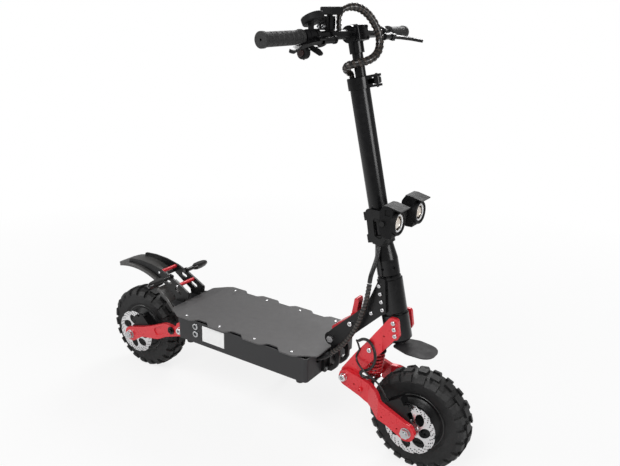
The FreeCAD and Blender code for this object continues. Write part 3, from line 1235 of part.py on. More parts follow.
def rounded_bar(diameter, extra=0):
    """The bar's tube: a straight middle and two swept ends joined by tangent arcs."""
    half = size("bar_half_width")
    points = [bar_spot(-half), bar_spot(-bar_straight), bar_spot(bar_straight), bar_spot(half)]
    if extra:
        points[0] = points[0] + (points[0] - points[1]).normalize() * extra
        points[3] = points[3] + (points[3] - points[2]).normalize() * extra
    path = rounded_wire(points, [0, 120, 120, 0], closed=False)
    section = Part.Wire(Part.makeCircle(diameter / 2, points[0], points[1] - points[0]))
    return Part.Wire(path.Edges).makePipeShell([section], True, True)


def build_controls():
    """Display, throttle, switch pod, horn button, brake perches and levers."""
    tube = size("bar_diameter") / 2

    def ring(outer, length):
        """Clamp ring on the bar in the bar's own frame."""
        bore = Part.makeCylinder(tube + fit, length + 2, Vector(0, 0, -1))
        return Part.makeCylinder(outer, length).cut(bore)

    # display: round pod on a clamp, tilted to the rider, and a flat meter box inboard of it
    tilt = Vector(-0.45, 0.9, 0)
    clamp = ring(tube + 5, 10)
    post = Part.makeBox(10, 24, 9, Vector(-5, tube + 1, 0.5))
    head = Part.makeCylinder(27, 18, Vector(0, 30, -6), tilt)
    head = head.makeFillet(4, [e for e in head.Edges if e.Length > 150])
    screen = Part.makeCylinder(21, 3, Vector(0, 30, -6) + tilt.normalize() * 17, tilt)
    pod = fuse(clamp, post, head).cut(screen)
    meter = Part.makeBox(34, 18, 46, Vector(-14, 46, -20))
    meter = meter.makeFillet(3, meter.Edges)
    meter_post = Part.makeBox(10, 38, 10, Vector(-5, tube + 1, 1))
    meter = fuse(ring(tube + 4, 12), meter_post, meter)
    feature("display", Part.makeCompound([placed(pod, bar_frame(-display_at)),
                                          placed(meter, bar_frame(-meter_at))]))

    # finger throttle beside the display, pulled back and down
    paddle = prism_xy([(0, 1 - tube), (tube + 3, -tube - 8), (tube + 22, -26, 4), (tube + 31, -34, 3),
                       (tube + 26, -40, 3), (tube + 1, -29, 6), (-5, -tube - 3)], 0.5, 8.5)
    paddle = paddle.fuse(ring(tube + 6, 9)).cut(Part.makeCylinder(tube + fit, 40, Vector(0, 0, -10)))
    feature("throttle_lever", placed(paddle.removeSplitter(), bar_frame(-throttle_at)))

    # switch pod hanging under the bar, with the horn button on its outer face
    drop = 34
    pod_radius = 14
    web = Part.makeBox(14, drop, 12, Vector(-7, -drop, 0))
    disc_shape = Part.makeCylinder(pod_radius, 18, Vector(0, -drop, 0))
    disc_shape = disc_shape.makeFillet(3, [e for e in disc_shape.Edges if e.Length > 60])
    switch = fuse(ring(tube + 5, 12), web, disc_shape)
    switch = switch.cut(Part.makeCylinder(tube + fit, 60, Vector(0, 0, -10)))
    switch = switch.cut(Part.makeCylinder(button_radius + 2 * fit, 8, Vector(0, -drop, 12)))
    feature("switch_pod", placed(switch, bar_frame(-switch_at)))
    button = Part.makeCylinder(button_radius, 6.5, Vector(0, -drop, 15))
    button = button.makeFillet(1.5, [e for e in button.Edges if abs(e.CenterOfMass.z - 21.5) < 1e-3])
    feature("horn_button", placed(button, bar_frame(-switch_at)))

    # brake perches with their master cylinders, and levers pivoting on them
    perches = []
    for name, side in (("right", -1), ("left", 1)):
        frame = bar_frame(side * perch_at, 18)
        clamp = ring(tube + 6, 12)
        neck = Part.makeBox(16, 12, 11, Vector(tube - 1, -6, 0.5))
        cylinder = Part.makeCylinder(8, 44, Vector(lever_pivot[0] - 1, 0, lever_pivot[1] - 54))
        cap = Part.makeCylinder(9.5, 6, Vector(lever_pivot[0] - 1, 0, lever_pivot[1] - 58))
        fork = Part.makeBox(18, 17, 22, Vector(lever_pivot[0] - 9, -8.5, lever_pivot[1] - 12))
        mouth = Part.makeBox(30, 9, 22, Vector(lever_pivot[0] - 12, -4.5, lever_pivot[1] - 9.5))
        pin = Part.makeCylinder(2.5, 19, Vector(lever_pivot[0], -9.5, lever_pivot[1]), Y_AXIS)
        perch = fuse(clamp, neck, cylinder, cap, fork).cut(mouth)
        perch = perch.fuse(pin).cut(Part.makeCylinder(tube + fit, 80, Vector(0, 0, -40)))
        perches.append(placed(perch, frame))
        feature("brake_lever_" + name, placed(lever_blade(), frame))
    feature("brake_perches", Part.makeCompound(perches))


def following(points, gap=2 * seat):
    """A route that starts a gap past the end of the cable it carries on from."""
    first, second = Vector(*points[0]), Vector(*points[1])
    return [first + (second - first).normalize() * gap] + points[1:]


def build_cables(port, port_axis):
    """Harnesses and lines, each held by the body that carries it; they meet at the joints."""
    stem_hole = [tuple(local_to_world(steer_place, -13.5, 0, along)) for along in (618, 545)]
    feature("mast_harness", cable([
        (270, -70, 1141), (267, -70, 1164), (269, -62, 1184), (277, -46, 1196), (288, -26, 1198),
        (299, -5, 1188), (310, 14, 1168), (320, 26, 1144), (328, 29, 1117), (332, 18, 1092),
        (328, -4, 1075), (315, -26, 1067), (297, -39, 1063), (278, -38, 1058), (265, -26, 1049),
        (263, -12, 1040)] + stem_hole, 13))
    steering_gap, swing_gap = 3.6, 2.2
    feature("neck_harness", cable(following([
        (371.3, -60, 519), (368, -60, 490), (361, -60, 455), (350, -60.5, 418), (337, -61, 383),
        (319, -61.5, 351), (299, -62, 323), (280, -63, 301), (262, -64, 285)], steering_gap), 14))
    feature("deck_harness", cable(following([
        (262, -64, 285), (246, -65.5, 271.5), (228, -67.4, 262.2), (208, -70.7, 253.9)]), 14))
    feed = cable([*feed_exit, (376, -49, 558), (373.4, -59.5, 537), (371.3, -60, 519)], 12)
    # the motor cable and the hose touch the right crown arm's face, and cross to the link along
    # lines that point at its pivot, so the link's lengths slide past theirs when it swings
    motor = cable([(350, -69, 351), (362, -66, 359), (375, -61.4, 356), (387, -61.4, 346), (397, -65, 331),
                   (402, -69, 311), (397, -71, 290), (384, -70, 276), (371, -68.5, 268)], 8)
    hose = cable([(342, -66, 350), (346, -61, 334), (349, -59.9, 322), (347.5, -59.9, 318),
                  (344, -59.9, 310)], 5)
    feature("front_cables", Part.makeCompound([feed, motor, hose]))
    motor_end = cable(following([(371, -68.5, 268), (357, -67, 259.5), (360, -67, 250), (372, -66, 247),
                                 (386, -57, 246), (389, -53.7, 237), (390, -53.7, 222)], swing_gap), 8)
    hose_end = cable(following([(344, -59.9, 310), (339, -60, 298.6), (345, -66, 288), (360, -75, 279),
                                (379, -78, 269), (400, -77, 257), (419, -75.5, 246),
                                port + port_axis * 18, port + port_axis * seat], swing_gap), 5)
    feature("front_arm_cables", Part.makeCompound([motor_end, hose_end]))


def lever_blade():
    """Brake lever in its perch's frame: hub, slotted curved blade and round tip."""
    x, z = lever_pivot
    outline = near(lever_pivot, (-8, -6, 6), (6, -8, 6), (9, 6, 8), (14, 40, 60), (28, 92, 80),
                   (47, 136, 5), (40, 143, 5), (33, 137, 5), (17, 92, 80), (4, 44, 60), (-7, 10, 8))
    window = near(lever_pivot, (11, 44, 1.5), (14, 56, 1.5), (29, 106, 1.5), (25, 108, 1.5), (11, 62, 1.5))
    blade = plate_xz(outline, -4, 4).cut(plate_xz(window, -5, 5))
    return blade.cut(Part.makeCylinder(2.5 + fit, 30, Vector(x, -15, z), Y_AXIS))


# ---------------------------------------------------------------- named points

fold_point = (size("pivot_x"), size("pivot_z"))
crown_point = (size("crown_x"), size("crown_z"))
link_point = (size("link_pivot_x"), size("link_pivot_z"))
shock_top = (size("shock_top_x"), size("shock_top_z"))
shock_foot = (size("shock_foot_x"), size("shock_foot_z"))
swing_point = (size("swing_pivot_x"), size("swing_pivot_z"))
brace_point = (size("brace_x"), size("brace_z"))
front_axle = (axle_x, axle_z)
rear_axle = (-axle_x, axle_z)
lever_point = (fold_point[0] + 60.6, fold_point[1] + 61.5)
spacer_point = (crown_point[0] - 48, crown_point[1] - 5)
crown_bolts = near(crown_point, (20, -14), (23.5, -31), (26.5, -49))
stalk_point = (-364, 360)
stand_pivot = Vector(size("stand_x"), size("stand_y"), size("stand_z"))
stand_axis = Vector(0.016, 0.921, 0.390).normalize()
steerer = size("steerer_diameter") / 2
eye_half = 14
collar_pin = size("stem_diameter") / 2 + 26
lamp_point = (size("lamp_x"), size("lamp_z"))
lamp_half = 26
lamp_outer = size("lamp_spread") / 2 + lamp_half
shock_play = 0.4
guard_screw_angle = 43.5
feed_exit = (Vector(376.7, -24.3, 608), Vector(378, -37, 580))
bar_straight = 60
perch_at, display_at, throttle_at, switch_at, meter_at = 154, 168, 179, 189.5, 100
button_radius = 8
lever_pivot = (size("bar_diameter") / 2 + 16, 12 + 8.5)
bar_centre = local_to_world(steer_place, size("mast_offset"), 0, size("bar_height"))

# ---------------------------------------------------------------- run

tail_pieces, shelf_under, shelf_upper = tail_frame()
deck_block, lid_screws = build_deck()
build_deck_contents()
base_screws, fold_bolt = build_hinge_base()
build_neck()
build_fold_lever()
fender_screws = build_rear_fender()
build_indicators()
build_steerer()
build_clamp_lever()
build_crown_arms(build_front_fender())
build_front_links()
build_shock()
build_lamps()
build_kickstand()
build_wheel("front", front_wheel_place)
build_wheel("rear", rear_wheel_place)
build_axle("front", front_wheel_place, size("link_inner") + size("link_step"), size("link_thickness"))
build_axle("rear", rear_wheel_place, size("rear_arm_inner"), size("rear_arm_thickness"))
swing_bolt = build_rear_suspension()
feature("deck_fasteners", Part.makeCompound([placed(screw, deck_place) for screw in lid_screws]
                                            + base_screws + fender_screws + [fold_bolt]
                                            + both([swing_bolt])))
hose_port, port_line = build_caliper("front", front_axle, 123)
build_caliper("rear", rear_axle, 44)
build_mast()
build_bar()
build_controls()
build_cables(hose_port, port_line)

doc.recompute()
for obj in doc.Objects:
    if "Invalid" in obj.State or "Error" in obj.State:
        raise RuntimeError("%s failed: %s" % (obj.Label, obj.State))
for obj in nodes:
    if obj.Shape.isNull() or not obj.Shape.isValid():
        raise RuntimeError("%s has no valid shape" % obj.Label)
    obj.Shape.exportStep("parts/%s.step" % obj.Label)
    print("%-20s solids %d volume %.0f" % (obj.Label, len(obj.Shape.Solids), obj.Shape.Volume))
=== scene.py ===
"""Looks for an off-road electric kick scooter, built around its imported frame."""

import json
import logging
import math
from dataclasses import dataclass, field
from enum import Enum

import bmesh
import bpy
from mathutils import Matrix, Vector

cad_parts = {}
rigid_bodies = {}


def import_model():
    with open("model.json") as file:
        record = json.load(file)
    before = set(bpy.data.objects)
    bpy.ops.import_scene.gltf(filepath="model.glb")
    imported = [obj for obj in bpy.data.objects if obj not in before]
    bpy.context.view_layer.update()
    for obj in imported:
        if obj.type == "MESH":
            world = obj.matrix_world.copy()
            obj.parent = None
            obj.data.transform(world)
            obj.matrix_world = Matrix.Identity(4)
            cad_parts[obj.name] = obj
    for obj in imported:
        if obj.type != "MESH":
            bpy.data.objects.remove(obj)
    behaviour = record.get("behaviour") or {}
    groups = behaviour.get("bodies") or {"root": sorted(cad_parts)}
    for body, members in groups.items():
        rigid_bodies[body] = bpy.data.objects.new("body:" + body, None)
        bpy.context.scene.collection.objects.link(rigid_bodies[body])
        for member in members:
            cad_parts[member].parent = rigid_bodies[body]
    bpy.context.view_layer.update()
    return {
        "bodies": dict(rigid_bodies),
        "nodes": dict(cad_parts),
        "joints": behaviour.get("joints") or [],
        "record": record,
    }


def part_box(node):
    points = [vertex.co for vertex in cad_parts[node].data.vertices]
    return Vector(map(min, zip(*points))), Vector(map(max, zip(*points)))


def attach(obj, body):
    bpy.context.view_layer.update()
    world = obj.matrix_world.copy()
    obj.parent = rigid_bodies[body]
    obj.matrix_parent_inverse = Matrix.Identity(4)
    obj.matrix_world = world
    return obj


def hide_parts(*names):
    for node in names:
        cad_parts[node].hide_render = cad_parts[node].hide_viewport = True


LOG = logging.getLogger("scooter")
X_AXIS, Y_AXIS, Z_AXIS = Vector((1, 0, 0)), Vector((0, 1, 0)), Vector((0, 0, 1))
BLACK = (0.0035, 0.0035, 0.0038)
RED = (0.66, 0.016, 0.028)
SILVER = (0.72, 0.72, 0.73)
DUST = (0.42, 0.41, 0.39, 1)
RELIEF_REACH = 0.0006


# ---------------------------------------------------------------- finishes

class Grain(Enum):
    """How the fine relief of a surface runs."""

    SMOOTH = "smooth"
    PEEL = "peel"
    BRUSHED = "brushed"
    TURNED = "turned"
    PEBBLE = "pebble"
    CAST = "cast"
    WOVEN = "woven"


@dataclass(frozen=True)
class Finish:
    """One surface finish: its colours, its gloss and its fine relief."""

    name: str
    colour: tuple[float, float, float]
    # Second colour, mixed in by patches: wear on most finishes, painted highlight glints on the wrap band.
    wear_and_glint: tuple[float, float, float]
    roughness: float = 0.4
    metallic: float = 0.0
    coat: float = 0.0
    grain: Grain = Grain.PEEL
    grain_size: float = 900.0
    depth: float = 0.12
    blotch_size: float = 14.0
    blotch: float = 0.25
    dust: float = 0.0
    specular: float = 0.5


POWDER_BLACK = Finish("powder_black", BLACK, (0.010, 0.010, 0.011), 0.36, 0.0, 0.10, Grain.PEEL, 750, 0.16,
                      specular=0.35)
SATIN_BLACK = Finish("satin_black", (0.0025, 0.0025, 0.003), (0.006, 0.006, 0.0065), 0.22, 0.0, 0.15,
                     Grain.PEEL, 500, 0.05, specular=0.35)
ANODISED_BLACK = Finish("anodised_black", (0.004, 0.004, 0.0045), (0.014, 0.014, 0.015), 0.28, 0.30, 0.0,
                        Grain.BRUSHED, 420, 0.05)
LID_GREY = Finish("lid_grey", (0.088, 0.086, 0.088), (0.125, 0.122, 0.124), 0.52, 0.0, 0.0,
                  Grain.PEBBLE, 1500, 0.22, 7.0, 0.35, 0.10)
SIDE_PANEL = Finish("side_panel", (0.017, 0.017, 0.0185), (0.032, 0.032, 0.034), 0.42, 0.0, 0.0,
                    Grain.PEEL, 800, 0.10, 9.0, 0.3)
RED_ANODISED = Finish("red_anodised", RED, (0.90, 0.085, 0.095), 0.30, 0.12, 0.3, Grain.PEEL, 600, 0.05,
                      18.0, 0.22)
RED_SPRING = Finish("red_spring", (0.62, 0.016, 0.026), (0.85, 0.07, 0.08), 0.26, 0.0, 0.5, Grain.SMOOTH,
                    300, 0.02)
STEEL = Finish("bright_steel", SILVER, (0.52, 0.52, 0.53), 0.24, 1.0, 0.0, Grain.BRUSHED, 700, 0.06, 40.0)
ROTOR_STEEL = Finish("rotor_steel", (0.78, 0.78, 0.79), (0.55, 0.55, 0.56), 0.26, 1.0, 0.0, Grain.TURNED,
                     1400, 0.10, 30.0)
ZINC = Finish("zinc_plate", (0.60, 0.61, 0.62), (0.42, 0.42, 0.42), 0.34, 1.0, 0.0, Grain.CAST, 500, 0.05)
HARD_CHROME = Finish("hard_chrome", (0.85, 0.85, 0.86), (0.75, 0.75, 0.76), 0.08, 1.0, 0.0, Grain.SMOOTH,
                     300, 0.01)
CAST_BLACK = Finish("cast_black", (0.004, 0.004, 0.0045), (0.014, 0.014, 0.015), 0.38, 0.1, 0.0,
                    Grain.CAST, 420, 0.22, specular=0.35)
TREAD = Finish("tread_rubber", (0.0045, 0.0045, 0.0047), (0.034, 0.034, 0.035), 0.50, 0.0, 0.0,
               Grain.PEBBLE, 700, 0.30, 22.0, 0.55, 0.06, 0.4)
RUBBER = Finish("soft_rubber", (0.011, 0.011, 0.011), (0.028, 0.028, 0.028), 0.52, 0.0, 0.0,
                Grain.PEBBLE, 1600, 0.25, 30.0, 0.35)
MOULDED = Finish("moulded_black", (0.0035, 0.0035, 0.004), (0.012, 0.012, 0.0125), 0.52, 0.0, 0.0,
                 Grain.PEBBLE, 1300, 0.12, specular=0.22)
FENDER_SHEET = Finish("fender_sheet", (0.040, 0.039, 0.038), (0.085, 0.080, 0.077), 0.30, 0.0, 0.2,
                      Grain.PEEL, 300, 0.05, 6.0, 0.55, 0.05)
FRONT_SHEET = Finish("front_sheet", (0.022, 0.021, 0.022), (0.050, 0.048, 0.050), 0.55, 0.0, 0.0,
                     Grain.PEEL, 300, 0.05, 8.0, 0.45, specular=0.25)
SMOKED = Finish("smoked_lens", (0.008, 0.007, 0.007), (0.030, 0.027, 0.026), 0.16, 0.0, 0.4,
                Grain.SMOOTH, 300, 0.02, 40.0)
SLEEVE = Finish("woven_sleeve", (0.004, 0.004, 0.0045), (0.020, 0.0195, 0.019), 0.42, 0.0, 0.0,
                Grain.WOVEN, 520, 0.55, 60.0, 0.5)
# Wrap band: its second, tan colour is a painted highlight, the tan glints on the dark band, laid in large
# patches by the unevenness mask.
WRAP = Finish("wrap_band", (0.005, 0.005, 0.005), (0.110, 0.080, 0.062), 0.22, 0.0, 0.3, Grain.SMOOTH,
              600, 0.04, 120.0, 0.6)
SHEATH = Finish("cable_sheath", (0.004, 0.004, 0.004), (0.012, 0.012, 0.012), 0.32, 0.0, 0.1,
                Grain.SMOOTH, 700, 0.05, 60.0)
SHRINK = Finish("shrink_wrap", (0.02, 0.03, 0.08), (0.04, 0.05, 0.12), 0.30, 0.0, 0.2, Grain.PEEL, 200, 0.2)
BARE_CAST = Finish("bare_cast", (0.45, 0.45, 0.46), (0.30, 0.30, 0.31), 0.45, 0.9, 0.0, Grain.CAST, 500, 0.2)
LABEL_WHITE = Finish("blank_label", (0.92, 0.92, 0.92), (0.84, 0.84, 0.83), 0.45, 0.0, 0.1, Grain.SMOOTH,
                     400, 0.02, 12.0, 0.2)
RING_WHITE = Finish("halo_ring", (0.85, 0.86, 0.88), (0.75, 0.76, 0.78), 0.22, 0.0, 0.4, Grain.SMOOTH,
                    400, 0.01)
BOWL_CHROME = Finish("bowl_chrome", (0.78, 0.74, 0.68), (0.60, 0.46, 0.32), 0.12, 1.0, 0.0, Grain.TURNED,
                     260, 0.10, 30.0, 0.6)
BUTTON_CAP = Finish("button_cap", (0.020, 0.006, 0.006), (0.040, 0.012, 0.011), 0.26, 0.0, 0.2,
                    Grain.SMOOTH, 400, 0.02)
RIM_EDGE = Finish("rim_edge", (0.10, 0.10, 0.10), (0.05, 0.05, 0.05), 0.30, 0.8, 0.0, Grain.TURNED, 900, 0.05)

NODE_FINISHES: dict[str, Finish] = {
    "deck_shell": SIDE_PANEL, "deck_lid": LID_GREY, "deck_fasteners": STEEL, "battery_pack": SHRINK,
    "motor_controllers": BARE_CAST, "charge_sockets": ZINC, "deck_feet": RUBBER,
    "hinge_base": POWDER_BLACK, "fender_brackets": POWDER_BLACK, "fender_spacers": RED_ANODISED,
    "rear_fender": FENDER_SHEET, "indicators": SMOKED, "deck_harness": SLEEVE, "rear_springs": RED_SPRING,
    "kickstand_leg": SATIN_BLACK, "rear_arms": RED_ANODISED, "rear_brace": POWDER_BLACK,
    "rear_axle": ZINC, "rear_caliper": CAST_BLACK, "rear_tyre": TREAD, "rear_hub_motor": CAST_BLACK,
    "rear_rotor": ROTOR_STEEL, "neck_plates": POWDER_BLACK, "head_tube": SATIN_BLACK,
    "neck_bolts": STEEL, "headset_bearings": SATIN_BLACK, "neck_harness": SLEEVE,
    "fold_lever": RED_ANODISED, "fork_crown": SATIN_BLACK, "crown_arms": RED_ANODISED,
    "arm_bolts": STEEL, "front_fender": FRONT_SHEET, "stem_tube": SATIN_BLACK,
    "lamp_bracket": POWDER_BLACK, "front_cables": SHEATH, "headlamp_right": MOULDED,
    "headlamp_left": MOULDED, "front_arms": RED_ANODISED, "front_axle": ZINC,
    "front_caliper": CAST_BLACK, "front_arm_cables": SHEATH, "front_tyre": TREAD,
    "front_hub_motor": CAST_BLACK, "front_rotor": ROTOR_STEEL, "front_shock_body": ANODISED_BLACK,
    "front_spring": RED_SPRING, "front_shock_rod": HARD_CHROME, "mast_tube": ANODISED_BLACK,
    "handlebar_stem": SATIN_BLACK, "handlebar": ANODISED_BLACK, "grips": RUBBER, "display": MOULDED,
    "switch_pod": MOULDED, "brake_perches": ANODISED_BLACK, "mast_harness": SLEEVE,
    "brake_lever_right": ANODISED_BLACK, "brake_lever_left": ANODISED_BLACK,
    "throttle_lever": MOULDED, "horn_button": BUTTON_CAP, "clamp_lever": SATIN_BLACK,
}


class ShaderGroups:
    """Builds the shader node groups that several materials share."""

    def __init__(self) -> None:
        """Make both groups once."""
        self.blotches = self._blotches()
        self.dust = self._dust()

    @staticmethod
    def _socket(group: bpy.types.NodeTree, name: str, kind: str, way: str, value: float | None = None) -> None:
        """Add one named socket to a group.

        Args:
            group: the node tree.
            name: the socket's name.
            kind: the socket's type, without its prefix.
            way: INPUT or OUTPUT.
            value: the default of a number socket.
        """
        made = group.interface.new_socket(name=name, in_out=way, socket_type="NodeSocket" + kind)
        if value is not None:
            made.default_value = value

    def _blotches(self) -> bpy.types.NodeTree:
        """Slow and quick unevenness mixed into one mask.

        Returns:
            The group, with a Size input and a Mask output.
        """
        group = bpy.data.node_groups.new("uneven_surface", "ShaderNodeTree")
        self._socket(group, "Size", "Float", "INPUT", 14.0)
        self._socket(group, "Mask", "Float", "OUTPUT")
        nodes, links = group.nodes, group.links
        source, sink = nodes.new("NodeGroupInput"), nodes.new("NodeGroupOutput")
        coords = nodes.new("ShaderNodeTexCoord")
        slow, quick = nodes.new("ShaderNodeTexNoise"), nodes.new("ShaderNodeTexNoise")
        slow.inputs["Detail"].default_value = 3.0
        quick.inputs["Detail"].default_value = 5.0
        faster = nodes.new("ShaderNodeMath")
        faster.operation = "MULTIPLY"
        faster.inputs[1].default_value = 7.3
        both = nodes.new("ShaderNodeMath")
        both.operation = "MULTIPLY"
        spread = nodes.new("ShaderNodeMapRange")
        spread.inputs["From Min"].default_value = 0.12
        spread.inputs["From Max"].default_value = 0.42
        for noise in (slow, quick):
            links.new(coords.outputs["Object"], noise.inputs["Vector"])
        links.new(source.outputs["Size"], slow.inputs["Scale"])
        links.new(source.outputs["Size"], faster.inputs[0])
        links.new(faster.outputs[0], quick.inputs["Scale"])
        links.new(slow.outputs["Fac"], both.inputs[0])
        links.new(quick.outputs["Fac"], both.inputs[1])
        links.new(both.outputs[0], spread.inputs["Value"])
        links.new(spread.outputs["Result"], sink.inputs["Mask"])
        return group

    def _dust(self) -> bpy.types.NodeTree:
        """Fine dust that lies on faces that look upwards.

        Returns:
            The group, with an Amount input and a Mask output.
        """
        group = bpy.data.node_groups.new("settled_dust", "ShaderNodeTree")
        self._socket(group, "Amount", "Float", "INPUT", 0.1)
        self._socket(group, "Mask", "Float", "OUTPUT")
        nodes, links = group.nodes, group.links
        source, sink = nodes.new("NodeGroupInput"), nodes.new("NodeGroupOutput")
        coords, noise = nodes.new("ShaderNodeTexCoord"), nodes.new("ShaderNodeTexNoise")
        noise.inputs["Scale"].default_value = 55.0
        noise.inputs["Detail"].default_value = 8.0
        normal, split = nodes.new("ShaderNodeNewGeometry"), nodes.new("ShaderNodeSeparateXYZ")
        facing = nodes.new("ShaderNodeMapRange")
        facing.inputs["From Min"].default_value = 0.1
        facing.inputs["From Max"].default_value = 1.0
        first, second = nodes.new("ShaderNodeMath"), nodes.new("ShaderNodeMath")
        first.operation = second.operation = "MULTIPLY"
        links.new(coords.outputs["Object"], noise.inputs["Vector"])
        links.new(normal.outputs["Normal"], split.inputs["Vector"])
        links.new(split.outputs["Z"], facing.inputs["Value"])
        links.new(facing.outputs["Result"], first.inputs[0])
        links.new(noise.outputs["Fac"], first.inputs[1])
        links.new(first.outputs[0], second.inputs[0])
        links.new(source.outputs["Amount"], second.inputs[1])
        links.new(second.outputs[0], sink.inputs["Mask"])
        return group


class PaintShop:
    """Makes a material from a finish and puts it on pieces."""

    def __init__(self) -> None:
        """Start with no materials made."""
        self.groups = ShaderGroups()
        self.made: dict[str, bpy.types.Material] = {}

    def material(self, finish: Finish) -> bpy.types.Material:
        """The material of a finish, made the first time it is asked for.

        Args:
            finish: the finish.

        Returns:
            The material.
        """
        if finish.name not in self.made:
            self.made[finish.name] = self._build(finish)
        return self.made[finish.name]

    def dress(self, piece: bpy.types.Object, finish: Finish) -> None:
        """Put a finish on the whole of a piece."""
        piece.data.materials.clear()
        piece.data.materials.append(self.material(finish))

    def _build(self, finish: Finish) -> bpy.types.Material:
        """Lay out the nodes of one finish.

        Args:
            finish: the finish.

        Returns:
            The new material.
        """
        material = bpy.data.materials.new(finish.name)
        material.use_nodes = True
        nodes, links = material.node_tree.nodes, material.node_tree.links
        nodes.clear()
        out, shader = nodes.new("ShaderNodeOutputMaterial"), nodes.new("ShaderNodeBsdfPrincipled")
        links.new(shader.outputs["BSDF"], out.inputs["Surface"])
        shader.inputs["Metallic"].default_value = finish.metallic
        shader.inputs["Coat Weight"].default_value = finish.coat
        shader.inputs["Coat Roughness"].default_value = 0.12
        shader.inputs["Specular IOR Level"].default_value = finish.specular

        uneven = nodes.new("ShaderNodeGroup")
        uneven.node_tree = self.groups.blotches
        uneven.inputs["Size"].default_value = finish.blotch_size
        amount = nodes.new("ShaderNodeMath")
        amount.operation = "MULTIPLY"
        amount.inputs[1].default_value = finish.blotch
        links.new(uneven.outputs["Mask"], amount.inputs[0])
        # Patches of the second colour: wear on most finishes, painted highlight glints on the wrap band.
        colour = nodes.new("ShaderNodeMix")
        colour.data_type = "RGBA"
        colour.inputs["A"].default_value = (*finish.colour, 1)
        colour.inputs["B"].default_value = (*finish.wear_and_glint, 1)
        links.new(amount.outputs[0], colour.inputs["Factor"])
        last = colour.outputs["Result"]
        if finish.dust > 0:
            dust = nodes.new("ShaderNodeGroup")
            dust.node_tree = self.groups.dust
            dust.inputs["Amount"].default_value = finish.dust
            layer = nodes.new("ShaderNodeMix")
            layer.data_type = "RGBA"
            layer.inputs["B"].default_value = DUST
            links.new(dust.outputs["Mask"], layer.inputs["Factor"])
            links.new(last, layer.inputs["A"])
            last = layer.outputs["Result"]
        links.new(last, shader.inputs["Base Color"])

        gloss = nodes.new("ShaderNodeMapRange")
        gloss.inputs["To Min"].default_value = max(0.03, finish.roughness - 0.06)
        gloss.inputs["To Max"].default_value = min(1.0, finish.roughness + 0.10)
        links.new(uneven.outputs["Mask"], gloss.inputs["Value"])
        links.new(gloss.outputs["Result"], shader.inputs["Roughness"])

        bump = nodes.new("ShaderNodeBump")
        bump.inputs["Strength"].default_value = min(1.0, finish.depth * 2)
        bump.inputs["Distance"].default_value = RELIEF_REACH
        links.new(self._relief(nodes, links, finish), bump.inputs["Height"])
        links.new(bump.outputs["Normal"], shader.inputs["Normal"])
        return material

    @staticmethod
    def _relief(nodes: bpy.types.Nodes, links: bpy.types.NodeLinks, finish: Finish) -> bpy.types.NodeSocket:
        """The height of a finish's fine relief.

        Args:
            nodes: the material's nodes.
            links: the material's links.
            finish: the finish.

        Returns:
            The socket that gives the height.
        """
        coords, mapping = nodes.new("ShaderNodeTexCoord"), nodes.new("ShaderNodeMapping")
        links.new(coords.outputs["Object"], mapping.inputs["Vector"])
        stretch = {Grain.BRUSHED: (0.06, 1.0, 1.0), Grain.TURNED: (1.0, 0.05, 1.0)}
        mapping.inputs["Scale"].default_value = stretch.get(finish.grain, (1.0, 1.0, 1.0))
        if finish.grain in (Grain.PEBBLE, Grain.CAST):
            texture = nodes.new("ShaderNodeTexVoronoi")
            texture.feature = "SMOOTH_F1"
            texture.inputs["Scale"].default_value = finish.grain_size
            result = texture.outputs["Distance"]
        elif finish.grain is Grain.WOVEN:
            texture = nodes.new("ShaderNodeTexWave")
            texture.bands_direction = "DIAGONAL"
            texture.inputs["Scale"].default_value = finish.grain_size / 6
            texture.inputs["Distortion"].default_value = 1.5
            result = texture.outputs["Fac"]
        else:
            texture = nodes.new("ShaderNodeTexNoise")
            texture.inputs["Scale"].default_value = finish.grain_size
            texture.inputs["Detail"].default_value = 3.0
            result = texture.outputs["Fac"]
        links.new(mapping.outputs["Vector"], texture.inputs["Vector"])
        return result


def glass_material(name: str, tint: tuple[float, float, float], roughness: float = 0.03) -> bpy.types.Material:
    """Clear glass or polycarbonate with a faint tint.

    Args:
        name: the material's name.
        tint: its colour.
        roughness: its roughness.

    Returns:
        The material.
    """
    material = bpy.data.materials.new(name)
    material.use_nodes = True
    shader = material.node_tree.nodes["Principled BSDF"]
    shader.inputs["Base Color"].default_value = (*tint, 1)
    shader.inputs["Roughness"].default_value = roughness
    shader.inputs["Transmission Weight"].default_value = 1.0
    shader.inputs["IOR"].default_value = 1.45
    return material


# ---------------------------------------------------------------- workbench

